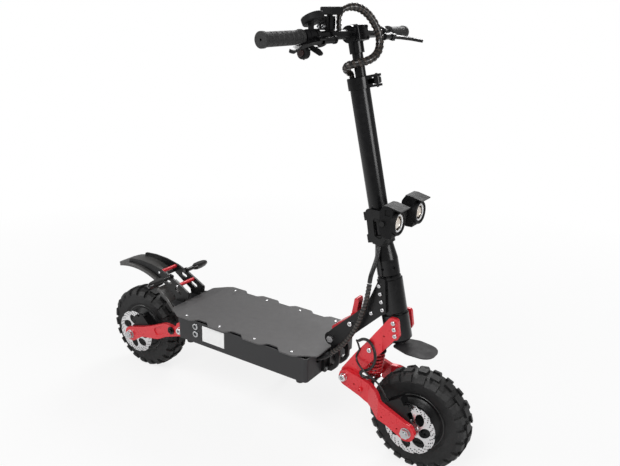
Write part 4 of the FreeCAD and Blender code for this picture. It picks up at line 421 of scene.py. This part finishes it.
class Workbench:
    """Modelling by hand: primitives shaped in edit mode, then finished and set down."""

    @staticmethod
    def clear() -> None:
        """Leave edit mode and deselect everything."""
        if bpy.context.object and bpy.context.object.mode != "OBJECT":
            bpy.ops.object.mode_set(mode="OBJECT")
        bpy.ops.object.select_all(action="DESELECT")

    @staticmethod
    def turn_to(axis: Vector) -> tuple[float, float, float]:
        """Rotation that lays a primitive's Z along an axis."""
        return tuple(Z_AXIS.rotation_difference(axis.normalized()).to_euler())

    def cylinder(self, name: str, centre: Vector, axis: Vector, radius: float, depth: float,
                 sides: int = 32) -> bpy.types.Object:
        """Add a capped cylinder.

        Args:
            name: the piece's name.
            centre: its middle.
            axis: its direction.
            radius: its radius.
            depth: its length.
            sides: how many sides it has.

        Returns:
            The new object, still turned and placed.
        """
        self.clear()
        bpy.ops.mesh.primitive_cylinder_add(vertices=sides, radius=radius, depth=depth, location=centre,
                                            rotation=self.turn_to(axis))
        made = bpy.context.object
        made.name = made.data.name = name
        return made

    def select_faces(self, piece: bpy.types.Object, normal: Vector, reach: float = 0.9) -> None:
        """Enter edit mode and select the faces that look along a direction in the piece's own frame.

        Args:
            piece: the piece.
            normal: the direction.
            reach: the smallest cosine that counts.
        """
        self.clear()
        bpy.context.view_layer.objects.active = piece
        piece.select_set(True)
        bpy.ops.object.mode_set(mode="EDIT")
        bpy.ops.mesh.select_mode(type="FACE")
        bpy.ops.mesh.select_all(action="DESELECT")
        mesh = bmesh.from_edit_mesh(piece.data)
        for face in mesh.faces:
            if face.normal.dot(normal) > reach:
                face.select_set(True)
        bmesh.update_edit_mesh(piece.data)

    def step_face(self, piece: bpy.types.Object, normal: Vector, steps: list[tuple[float, float]]) -> None:
        """Inset the faces on one side and push them in or out, step by step.

        Args:
            piece: the piece.
            normal: which side, in the piece's own frame.
            steps: pairs of inset width and push, a push below zero going in.
        """
        self.select_faces(piece, normal)
        for width, push in steps:
            if width:
                bpy.ops.mesh.inset(thickness=width, depth=0.0)
            if push:
                bpy.ops.mesh.extrude_region_move(
                    TRANSFORM_OT_translate={"value": (0, 0, push), "orient_type": "NORMAL"})
        bpy.ops.object.mode_set(mode="OBJECT")

    def finish(self, piece: bpy.types.Object, bevel: float = 0.0, segments: int = 2,
               angle: float = 35.0) -> bpy.types.Object:
        """Round the edges, smooth by angle and put the piece's place into its mesh.

        Args:
            piece: the piece.
            bevel: the width of the rounding, or 0.
            segments: how many steps the rounding has.
            angle: the edge angle kept sharp, in degrees.

        Returns:
            The piece.
        """
        self.clear()
        bpy.context.view_layer.objects.active = piece
        piece.select_set(True)
        if bevel:
            modifier = piece.modifiers.new("edges", "BEVEL")
            modifier.width = bevel
            modifier.segments = segments
            modifier.limit_method = "ANGLE"
            bpy.ops.object.modifier_apply(modifier=modifier.name)
        bpy.ops.object.transform_apply(location=True, rotation=True, scale=True)
        bpy.ops.object.shade_smooth_by_angle(angle=math.radians(angle))
        piece.select_set(False)
        return piece

    def cut(self, piece: bpy.types.Object, cutters: list[bpy.types.Object]) -> None:
        """Cut the joined shape of some cutters out of a piece.

        Args:
            piece: the piece.
            cutters: closed shapes that don't touch each other; they are used up.
        """
        tool = self.join(cutters, "cutter")
        self.clear()
        bpy.context.view_layer.objects.active = piece
        piece.select_set(True)
        modifier = piece.modifiers.new("openings", "BOOLEAN")
        modifier.operation = "DIFFERENCE"
        modifier.solver = "EXACT"
        modifier.object = tool
        bpy.ops.object.modifier_apply(modifier=modifier.name)
        bpy.data.objects.remove(tool)

    def join(self, pieces: list[bpy.types.Object], name: str) -> bpy.types.Object:
        """Make one piece of several finished ones.

        Args:
            pieces: the pieces.
            name: the new piece's name.

        Returns:
            The joined piece.
        """
        self.clear()
        for piece in pieces:
            piece.select_set(True)
        bpy.context.view_layer.objects.active = pieces[0]
        if len(pieces) > 1:
            bpy.ops.object.join()
        pieces[0].name = pieces[0].data.name = name
        pieces[0].select_set(False)
        return pieces[0]


@dataclass
class Maker:
    """What every sub-assembly needs: the frame, the paint shop and the workbench."""

    frame: dict
    shop: PaintShop
    bench: Workbench = field(default_factory=Workbench)

    def joint(self, name: str) -> Vector:
        """Where a joint stands at rest."""
        found = [j for j in self.frame["joints"] if j["name"] == name][0]
        return Vector(found["pos_m"])

    def settle(self, piece: bpy.types.Object, body: str, finish: Finish, slot: str) -> None:
        """Dress a piece, set it on its body and report it.

        Args:
            piece: the finished piece.
            body: the body it rides on.
            finish: its finish.
            slot: the record's material slot; not used.
        """
        self.shop.dress(piece, finish)
        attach(piece, body)
        LOG.info("%s: %d faces on %s", piece.name, len(piece.data.polygons), body)


# ---------------------------------------------------------------- wheels

@dataclass
class WheelTrim(Maker):
    """Rotor bolts, hub cover screws and the bright rim edge of one wheel."""

    prefix: str = "front"
    bolt_circle: float = 0.022
    bolt_radius: float = 0.0042
    cover_circle: float = 0.047
    cover_screw: float = 0.0032
    cover_inset: float = 0.0062
    rim_width: float = 0.0015
    rim_radius: float = 0.0785
    rim_share: float = 0.64

    def build(self) -> None:
        """Make the wheel's trim."""
        centre = self.joint(self.prefix + "_wheel_spin")
        rotor_low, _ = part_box(self.prefix + "_rotor")
        _, hub_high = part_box(self.prefix + "_hub_motor")
        self._screws("rotor_bolts", centre, rotor_low.y, -1, self.bolt_circle, 5, self.bolt_radius)
        cover = hub_high.y - self.cover_inset
        self._screws("cover_screws", centre, cover, 1, self.cover_circle, 8, self.cover_screw)
        self._rim_rings(centre)

    def _screws(self, kind: str, centre: Vector, face: float, side: int, circle: float, count: int,
                radius: float) -> None:
        """A ring of domed socket screws.

        Args:
            kind: what they hold, for the name.
            centre: the wheel's centre.
            face: the y of the face they stand on.
            side: -1 for the right face, 1 for the left.
            circle: the radius of the ring.
            count: how many there are.
            radius: the radius of one head.
        """
        heads = []
        for k in range(count):
            turn = 2 * math.pi * (k + 0.25) / count
            spot = Vector((centre.x + circle * math.cos(turn), face + side * radius * 0.3,
                           centre.z + circle * math.sin(turn)))
            head = self.bench.cylinder("head", spot, side * Y_AXIS, radius, radius * 0.7, 20)
            self.bench.step_face(head, Z_AXIS, [(radius * 0.25, radius * 0.12), (radius * 0.2, 0),
                                                (0, -radius * 0.5)])
            heads.append(self.bench.finish(head, radius * 0.08))
        piece = self.bench.join(heads, "%s_%s" % (self.prefix, kind))
        self.settle(piece, self.prefix + "_wheel", STEEL, self.prefix + "_rotor")

    def _rim_rings(self, centre: Vector) -> None:
        """The machined edge of the rim where the tyre's bead sits."""
        tyre_low, tyre_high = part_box(self.prefix + "_tyre")
        half = (tyre_high.y - tyre_low.y) / 2
        rings = []
        for side in (-1, 1):
            self.bench.clear()
            bpy.ops.mesh.primitive_torus_add(
                location=(centre.x, centre.y + side * half * self.rim_share, centre.z),
                rotation=(math.pi / 2, 0, 0), major_segments=96, minor_segments=10,
                major_radius=self.rim_radius, minor_radius=self.rim_width)
            rings.append(self.bench.finish(bpy.context.object))
        piece = self.bench.join(rings, self.prefix + "_rim_edges")
        self.settle(piece, self.prefix + "_wheel", RIM_EDGE, self.prefix + "_hub_motor")


@dataclass
class BrakeRotor(Maker):
    """A brake rotor with a wavy rim, rows of vent holes and swept open windows."""

    prefix: str = "front"
    bore: float = 0.015
    waves: int = 10
    wave_offset: float = 0.0085
    wave_radius: float = 0.0115
    windows: int = 7
    window_at: float = 0.0425
    window_long: float = 0.0180
    window_wide: float = 0.0130
    sweep: float = math.radians(38)
    vent_radius: float = 0.0019
    vent_rows: tuple[float, ...] = (0.0605, 0.0650, 0.0690)
    cutter_depth: float = 0.02

    def build(self) -> None:
        """Make the rotor in place of the plain one."""
        node = self.prefix + "_rotor"
        low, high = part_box(node)
        spin = self.joint(self.prefix + "_wheel_spin")
        centre = Vector((spin.x, (low.y + high.y) / 2, spin.z))
        radius, thickness = (high.z - low.z) / 2, high.y - low.y
        plate = self.bench.cylinder(node + "_plate", centre, Y_AXIS, radius, thickness, 180)
        self.bench.cut(plate, [self._slot(centre, 0.0, 0.0, self.bore, self.bore)])
        self.bench.cut(plate, [self._slot(centre, 2 * math.pi * k / self.waves, radius + self.wave_offset,
                                          self.wave_radius, self.wave_radius) for k in range(self.waves)])
        self.bench.cut(plate, [self._slot(centre, 2 * math.pi * k / self.windows, self.window_at,
                                          self.window_long, self.window_wide) for k in range(self.windows)])
        holes = 3 * self.waves
        for row, distance in enumerate(self.vent_rows):
            self.bench.cut(plate, [self._slot(centre, 2 * math.pi * (k + row / 3) / holes, distance,
                                              self.vent_radius, self.vent_radius) for k in range(holes)])
        plate.data.name = plate.name
        piece = self.bench.finish(plate)
        self.settle(piece, self.prefix + "_wheel", ROTOR_STEEL, node)
        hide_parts(node)

    def _slot(self, centre: Vector, turn: float, distance: float, long: float,
              wide: float) -> bpy.types.Object:
        """One upright cutter, oval when its two half sizes differ.

        Args:
            centre: the rotor's centre.
            turn: its angle round the rotor.
            distance: its distance from the centre.
            long: half its length, laid swept back from the radius.
            wide: half its width.

        Returns:
            The cutter.
        """
        spot = centre + Vector((math.cos(turn), 0, math.sin(turn))) * distance
        sides = 14 if long <= self.vent_radius else 40
        cutter = self.bench.cylinder("slot", spot, Y_AXIS, 1.0, self.cutter_depth, sides)
        cutter.scale = (long, wide, 1.0)
        lean = Matrix.Rotation(-(turn + self.sweep), 3, "Y")
        upright = Matrix.Rotation(-math.pi / 2, 3, "X")
        cutter.rotation_euler = (lean @ upright).to_euler()
        self.bench.clear()
        cutter.select_set(True)
        bpy.context.view_layer.objects.active = cutter
        bpy.ops.object.transform_apply(location=True, rotation=True, scale=True)
        return cutter


# ---------------------------------------------------------------- lamps

@dataclass
class LampOptics(Maker):
    """Projector lens, halo ring and bowl of one headlamp."""

    side: str = "right"
    front_reach: float = 0.035
    bowl_radius: float = 0.0235
    bowl_depth: float = 0.016
    bowl_inset: float = 0.0115
    halo_radius: float = 0.0205
    halo_wire: float = 0.0022
    halo_inset: float = 0.0050
    lens_radius: float = 0.0150
    lens_flatness: float = 0.7
    lens_inset: float = 0.0125

    def build(self) -> None:
        """Make the lamp's optics."""
        pivot = self.joint("headlamp_%s_tilt" % self.side)
        body, slot = "lamp_" + self.side, "headlamp_" + self.side
        front = pivot.x + self.front_reach
        spot = Vector((front - self.bowl_inset, pivot.y, pivot.z))
        bowl = self.bench.cylinder("bowl", spot, X_AXIS, self.bowl_radius, self.bowl_depth, 64)
        self.bench.step_face(bowl, Z_AXIS, [(0.0006, -0.004), (0.004, -0.004), (0.004, -0.003)])
        piece = self.bench.finish(bowl, 0.0003)
        piece.name = piece.data.name = "lamp_bowl_" + self.side
        self.settle(piece, body, BOWL_CHROME, slot)

        self.bench.clear()
        bpy.ops.mesh.primitive_torus_add(location=(front - self.halo_inset, pivot.y, pivot.z),
                                         rotation=(0, math.pi / 2, 0), major_segments=72,
                                         minor_segments=12, major_radius=self.halo_radius,
                                         minor_radius=self.halo_wire)
        halo = self.bench.finish(bpy.context.object)
        halo.name = halo.data.name = "lamp_halo_" + self.side
        self.settle(halo, body, RING_WHITE, slot)

        self.bench.clear()
        bpy.ops.mesh.primitive_uv_sphere_add(segments=48, ring_count=24, radius=self.lens_radius,
                                             location=(front - self.lens_inset, pivot.y, pivot.z),
                                             rotation=(0, math.pi / 2, 0))
        lens = bpy.context.object
        lens.scale = (1, 1, self.lens_flatness)
        lens = self.bench.finish(lens)
        lens.name = lens.data.name = "lamp_lens_" + self.side
        self.settle(lens, body, BOWL_CHROME, slot)
        lens.data.materials[0] = glass_material("lens_glass_" + self.side, (0.93, 0.95, 0.98))


# ---------------------------------------------------------------- deck

@dataclass
class DeckTrim(Maker):
    """The blank plate on the deck's side."""

    plate_low: tuple[float, float] = (-0.151, 0.231)
    plate_high: tuple[float, float] = (-0.067, 0.281)
    plate_depth: float = 0.0006
    plate_tilt: float = math.radians(1.1)
    socket_lip: float = 0.005

    def build(self) -> None:
        """Make the plate."""
        low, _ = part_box("charge_sockets")
        wall = low.y + self.socket_lip
        width = self.plate_high[0] - self.plate_low[0]
        height = self.plate_high[1] - self.plate_low[1]
        self.bench.clear()
        bpy.ops.mesh.primitive_cube_add(size=1, location=(
            (self.plate_low[0] + self.plate_high[0]) / 2, wall - self.plate_depth / 2,
            (self.plate_low[1] + self.plate_high[1]) / 2))
        plate = bpy.context.object
        plate.scale = (width, self.plate_depth, height)
        plate.rotation_euler = (0, self.plate_tilt, 0)
        plate.name = plate.data.name = "side_plate_blank"
        piece = self.bench.finish(plate, 0.0002)
        self.settle(piece, "deck", LABEL_WHITE, "deck_shell")


# ---------------------------------------------------------------- harness

MAST_ROUTE = [
    (.270, -.070, 1.141), (.267, -.070, 1.164), (.269, -.062, 1.184), (.277, -.046, 1.1922),
    (.288, -.026, 1.1942), (.299, -.005, 1.1862), (.310, .014, 1.168), (.320, .026, 1.144),
    (.328, .029, 1.117), (.332, .018, 1.092), (.328, -.004, 1.075), (.315, -.026, 1.067),
    (.297, -.039, 1.063), (.278, -.038, 1.058), (.265, -.026, 1.049), (.263, -.012, 1.040),
    (.2715, 0, 1.0306), (.2872, 0, .9594)]
NECK_ROUTE = [
    (.3709, -.060, .5154), (.368, -.060, .490), (.361, -.060, .455), (.350, -.0605, .418),
    (.337, -.061, .383), (.319, -.0615, .351), (.299, -.062, .323), (.280, -.063, .301),
    (.262, -.064, .285)]


@dataclass
class WrappedHarness(Maker):
    """A bundle of wires in a spiral band, along its route."""

    node: str = "mast_harness"
    body: str = "mast"
    route: list[tuple[float, float, float]] = field(default_factory=list)
    core: float = 0.0054
    band: float = 0.0069
    pitch: float = 0.0120
    band_width: float = 0.0062
    swell: float = 1.0
    swell_from: float = 0.10
    swell_to: float = 0.86
    swell_ramp: float = 0.10
    band_sink: float = 0.0002
    band_steps: int = 20
    sides: int = 16

    def path(self) -> list[Vector]:
        """Points along the smooth route.

        Returns:
            The points, evenly enough spaced to sweep along.
        """
        curve = bpy.data.curves.new("route", "CURVE")
        curve.dimensions = "3D"
        curve.resolution_u = 24
        spline = curve.splines.new("NURBS")
        spline.points.add(len(self.route) - 1)
        for point, spot in zip(spline.points, self.route):
            point.co = (*spot, 1)
        spline.order_u = 3
        spline.use_endpoint_u = True
        holder = bpy.data.objects.new("route", curve)
        bpy.context.scene.collection.objects.link(holder)
        mesh = bpy.data.meshes.new_from_object(holder)
        points = [vertex.co.copy() for vertex in mesh.vertices]
        bpy.data.objects.remove(holder)
        bpy.data.meshes.remove(mesh)
        return points

    @staticmethod
    def frames(points: list[Vector]) -> list[tuple[Vector, Vector, Vector, float]]:
        """Frames carried along a path without twisting.

        Args:
            points: the path.

        Returns:
            For each point: itself, two directions across the path, and the distance along it.
        """
        tangents = [(b - a).normalized() for a, b in zip(points, points[1:])]
        tangents.append(tangents[-1])
        across = tangents[0].orthogonal().normalized()
        result, length = [], 0.0
        for i, (point, tangent) in enumerate(zip(points, tangents)):
            if i:
                across = tangents[i - 1].rotation_difference(tangent) @ across
                length += (point - points[i - 1]).length
            result.append((point, across.copy(), tangent.cross(across).normalized(), length))
        return result

    def thickness(self, share: float) -> float:
        """How many times its end thickness the bundle is at a share of its length."""
        rise = min(1.0, max(0.0, (share - self.swell_from) / self.swell_ramp))
        fall = min(1.0, max(0.0, (self.swell_to - share) / self.swell_ramp))
        smooth = min(rise, fall)
        return 1.0 + (self.swell - 1.0) * smooth * smooth * (3 - 2 * smooth)

    def build(self) -> None:
        """Make the bundle and its spiral band."""
        frames = self.frames(self.path())
        core = self._tube(frames, self.core)
        core.name = core.data.name = self.node + "_core"
        self.settle(core, self.body, SHEATH, self.node)
        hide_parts(self.node)
        band = self._band(frames)
        self.settle(band, self.body, WRAP, self.node)

    def _tube(self, frames: list[tuple[Vector, Vector, Vector, float]], radius: float) -> bpy.types.Object:
        """Sweep a round section along the frames.

        Args:
            frames: the frames.
            radius: the section's radius.

        Returns:
            The tube.
        """
        sides = self.sides
        mesh, rings, total = bmesh.new(), [], frames[-1][3]
        for point, a, b, length in frames:
            size = radius * self.thickness(length / total)
            rings.append([mesh.verts.new(point + (a * math.cos(t) + b * math.sin(t)) * size)
                          for t in (2 * math.pi * k / sides for k in range(sides))])
        for low, high in zip(rings, rings[1:]):
            for k in range(sides):
                mesh.faces.new((low[k], low[(k + 1) % sides], high[(k + 1) % sides], high[k]))
        mesh.faces.new(list(reversed(rings[0])))
        mesh.faces.new(rings[-1])
        return self._object(mesh, "tube")

    def _band(self, frames: list[tuple[Vector, Vector, Vector, float]]) -> bpy.types.Object:
        """The band wound round the bundle, a flat strip with rolled edges.

        Args:
            frames: the frames of the route.

        Returns:
            The band.
        """
        total = frames[-1][3]
        turns = total / self.pitch
        steps = int(turns * self.band_steps)
        mesh, previous, index = bmesh.new(), None, 0
        section = ((-0.5, 0.0), (-0.42, 1.0), (0.42, 1.0), (0.5, 0.0))
        relief = self.band - self.core
        for step in range(steps + 1):
            middle = total * step / steps
            ring = []
            for across, height in section:
                along = min(max(middle + across * self.band_width, 0.0), total)
                index = min(index, len(frames) - 2)
                while index < len(frames) - 2 and frames[index + 1][3] < along:
                    index += 1
                while index > 0 and frames[index][3] > along:
                    index -= 1
                low, high = frames[index], frames[index + 1]
                share = (along - low[3]) / max(high[3] - low[3], 1e-9)
                turn = 2 * math.pi * turns * step / steps
                spot = low[0].lerp(high[0], share)
                a, b = low[1].lerp(high[1], share).normalized(), low[2].lerp(high[2], share).normalized()
                radius = self.core * self.thickness(along / total) - self.band_sink + height * relief
                ring.append(mesh.verts.new(spot + (a * math.cos(turn) + b * math.sin(turn)) * radius))
            if previous:
                for k in range(len(section)):
                    j = (k + 1) % len(section)
                    mesh.faces.new((previous[k], previous[j], ring[j], ring[k]))
            else:
                mesh.faces.new(ring)
            previous = ring
        mesh.faces.new(list(reversed(previous)))
        return self._object(mesh, self.node + "_band")

    def _object(self, mesh: bmesh.types.BMesh, name: str) -> bpy.types.Object:
        """Put a finished mesh into the scene.

        Args:
            mesh: the mesh.
            name: the piece's name.

        Returns:
            The new object.
        """
        bmesh.ops.recalc_face_normals(mesh, faces=mesh.faces)
        data = bpy.data.meshes.new(name)
        mesh.to_mesh(data)
        mesh.free()
        made = bpy.data.objects.new(name, data)
        bpy.context.scene.collection.objects.link(made)
        self.bench.clear()
        made.select_set(True)
        bpy.context.view_layer.objects.active = made
        bpy.ops.object.shade_smooth_by_angle(angle=math.radians(50))
        made.select_set(False)
        return made


@dataclass
class ThinCable(WrappedHarness):
    """A bare cable held on the bar, with no band."""

    label: str = "switch_cable"
    slot_name: str = "switch_pod"

    def build(self) -> None:
        """Make the cable."""
        cable = self._tube(self.frames(self.path()), self.core)
        cable.name = cable.data.name = self.label
        self.settle(cable, self.body, SHEATH, self.slot_name)


SWITCH_CABLE = [
    (.2530, -.1880, 1.0890), (.2450, -.1860, 1.0790), (.2440, -.1780, 1.0780), (.2470, -.1700, 1.0880),
    (.2490, -.1640, 1.0985), (.2545, -.1500, 1.1040), (.2600, -.1280, 1.1050), (.2620, -.1120, 1.1110),
    (.2615, -.1030, 1.1190)]


@dataclass
class BarTrim(Maker):
    """The plug housing under the meter box, and its plugs."""

    low: tuple[float, float, float] = (0.240, -0.118, 1.1415)
    high: tuple[float, float, float] = (0.268, -0.084, 1.1725)
    plug_spots: tuple[tuple[float, float], ...] = ((0.247, 1.150), (0.260, 1.150), (0.2535, 1.163))
    plug_radius: float = 0.0045
    plug_length: float = 0.009
    plug_seat: float = 0.004

    def build(self) -> None:
        """Make the housing and its plugs."""
        self.bench.clear()
        low, high = Vector(self.low), Vector(self.high)
        bpy.ops.mesh.primitive_cube_add(size=1, location=(low + high) / 2)
        housing = bpy.context.object
        housing.scale = high - low
        housing.name = housing.data.name = "plug_housing"
        bpy.ops.object.transform_apply(location=False, rotation=False, scale=True)
        self.bench.step_face(housing, X_AXIS, [(0.004, -0.0025)])
        self.bench.step_face(housing, -Y_AXIS, [(0.005, 0.003)])
        piece = self.bench.finish(housing, 0.002, 3)
        self.settle(piece, "mast", MOULDED, "display")
        plugs = []
        for x, z in self.plug_spots:
            spot = Vector((x, low.y - self.plug_seat, z))
            plug = self.bench.cylinder("plug", spot, -Y_AXIS, self.plug_radius, self.plug_length, 24)
            self.bench.step_face(plug, Z_AXIS, [(0.0012, 0.002), (0.0012, -0.003)])
            plugs.append(self.bench.finish(plug, 0.0004))
        piece = self.bench.join(plugs, "plug_nuts")
        self.settle(piece, "mast", ZINC, "display")


# ---------------------------------------------------------------- studio

@dataclass
class Studio:
    """Pale floor, soft lamps and the camera."""

    camera_spot: Vector = field(default_factory=lambda: Vector((1.1450, -1.5275, 1.1923)))
    right: Vector = field(default_factory=lambda: Vector((0.8357, 0.5491, 0.0087)))
    up: Vector = field(default_factory=lambda: Vector((-0.1777, 0.2553, 0.9504)))
    focal_length: float = 40.14
    floor_size: float = 60.0
    shadow_share: float = 0.20
    shadow_reach: tuple[float, float] = (1.0, 2.6)
    surroundings: float = 0.26
    aim: Vector = field(default_factory=lambda: Vector((0, 0, 0.45)))

    def build(self) -> None:
        """Set up the studio."""
        self._camera()
        self._floor()
        self._lamps()
        self._world()
        bpy.context.scene.view_settings.view_transform = "Standard"

    def _camera(self) -> None:
        """The camera at its place."""
        data = bpy.data.cameras.new("camera")
        data.lens = self.focal_length
        data.sensor_width = 36.0
        data.clip_end = 60.0
        camera = bpy.data.objects.new("camera", data)
        back = self.right.cross(self.up).normalized()
        turn = Matrix((self.right, self.up, back)).transposed().to_4x4()
        camera.matrix_world = Matrix.Translation(self.camera_spot) @ turn
        bpy.context.scene.collection.objects.link(camera)
        bpy.context.scene.camera = camera

    def _floor(self) -> None:
        """A plain pale floor that the camera sees as white, with a soft shadow."""
        bpy.ops.object.select_all(action="DESELECT")
        bpy.ops.mesh.primitive_plane_add(size=self.floor_size, location=(0, 0, -0.0005))
        floor = bpy.context.object
        floor.name = "floor"
        material = bpy.data.materials.new("pale_floor")
        material.use_nodes = True
        nodes, links = material.node_tree.nodes, material.node_tree.links
        nodes.clear()
        out, mix = nodes.new("ShaderNodeOutputMaterial"), nodes.new("ShaderNodeMixShader")
        matte, glow = nodes.new("ShaderNodeBsdfDiffuse"), nodes.new("ShaderNodeEmission")
        matte.inputs["Color"].default_value = (0.88, 0.88, 0.88, 1)
        glow.inputs["Color"].default_value = (1, 1, 1, 1)
        coords, length = nodes.new("ShaderNodeTexCoord"), nodes.new("ShaderNodeVectorMath")
        length.operation = "LENGTH"
        reach, part = nodes.new("ShaderNodeMapRange"), nodes.new("ShaderNodeMath")
        reach.inputs["From Min"].default_value, reach.inputs["From Max"].default_value = self.shadow_reach
        reach.inputs["To Min"].default_value = 1.0 - self.shadow_share
        part.operation = "MULTIPLY"
        links.new(coords.outputs["Object"], length.inputs[0])
        links.new(length.outputs["Value"], reach.inputs["Value"])
        links.new(reach.outputs["Result"], part.inputs[0])
        links.new(self._seen(nodes, links), part.inputs[1])
        links.new(part.outputs[0], mix.inputs["Fac"])
        links.new(matte.outputs[0], mix.inputs[1])
        links.new(glow.outputs[0], mix.inputs[2])
        links.new(mix.outputs[0], out.inputs["Surface"])
        floor.data.materials.append(material)

    @staticmethod
    def _seen(nodes: bpy.types.Nodes, links: bpy.types.NodeLinks) -> bpy.types.NodeSocket:
        """One where the camera looks, straight or through glass.

        Args:
            nodes: the nodes to add to.
            links: the links to add to.

        Returns:
            The socket.
        """
        path, either = nodes.new("ShaderNodeLightPath"), nodes.new("ShaderNodeMath")
        either.operation = "MAXIMUM"
        links.new(path.outputs["Is Camera Ray"], either.inputs[0])
        links.new(path.outputs["Is Transmission Ray"], either.inputs[1])
        return either.outputs[0]

    def _lamp(self, name: str, spot: tuple[float, float, float], size: float, power: float) -> None:
        """One square area lamp that looks at the middle of the object."""
        data = bpy.data.lights.new(name, "AREA")
        data.energy = power
        data.size = size
        lamp = bpy.data.objects.new(name, data)
        lamp.location = spot
        aim = self.aim - lamp.location
        lamp.rotation_euler = aim.to_track_quat("-Z", "Y").to_euler()
        bpy.context.scene.collection.objects.link(lamp)

    def _lamps(self) -> None:
        """Key above the near side, fills left and right, and a rim lamp behind."""
        self._lamp("key", (0.6, -2.4, 3.0), 1.6, 60)
        self._lamp("fill_rear", (-2.6, -1.6, 1.8), 1.2, 26)
        self._lamp("fill_front", (2.8, -0.4, 1.6), 1.2, 26)
        self._lamp("back", (-0.6, 2.6, 2.4), 1.4, 40)

    def _world(self) -> None:
        """Even grey surroundings that the camera sees as white."""
        world = bpy.data.worlds.new("studio")
        bpy.context.scene.world = world
        world.use_nodes = True
        nodes, links = world.node_tree.nodes, world.node_tree.links
        nodes.clear()
        out, mix = nodes.new("ShaderNodeOutputWorld"), nodes.new("ShaderNodeMixShader")
        soft, white = nodes.new("ShaderNodeBackground"), nodes.new("ShaderNodeBackground")
        soft.inputs["Color"].default_value = (1, 1, 1, 1)
        soft.inputs["Strength"].default_value = self.surroundings
        white.inputs["Color"].default_value = (1, 1, 1, 1)
        white.inputs["Strength"].default_value = 1.0
        links.new(self._seen(nodes, links), mix.inputs["Fac"])
        links.new(soft.outputs[0], mix.inputs[1])
        links.new(white.outputs[0], mix.inputs[2])
        links.new(mix.outputs[0], out.inputs["Surface"])


# ---------------------------------------------------------------- run


def main() -> None:
    """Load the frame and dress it."""
    logging.basicConfig(level=logging.INFO, format="%(message)s")
    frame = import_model()
    shop = PaintShop()
    Studio().build()
    for name, node in frame["nodes"].items():
        shop.dress(node, NODE_FINISHES[name])
    WrappedHarness(frame, shop, node="mast_harness", body="mast", route=MAST_ROUTE, swell=1.65).build()
    ThinCable(frame, shop, body="mast", route=SWITCH_CABLE, core=0.0016).build()
    BarTrim(frame, shop).build()
    WrappedHarness(frame, shop, node="neck_harness", body="neck", route=NECK_ROUTE, core=0.0057,
                   band=0.0070, pitch=0.0105, band_width=0.0060).build()
    for prefix in ("front", "rear"):
        BrakeRotor(frame, shop, prefix=prefix).build()
        WheelTrim(frame, shop, prefix=prefix).build()
    for side in ("left", "right"):
        LampOptics(frame, shop, side=side).build()
    DeckTrim(frame, shop).build()


if __name__ == "__main__":
    main()
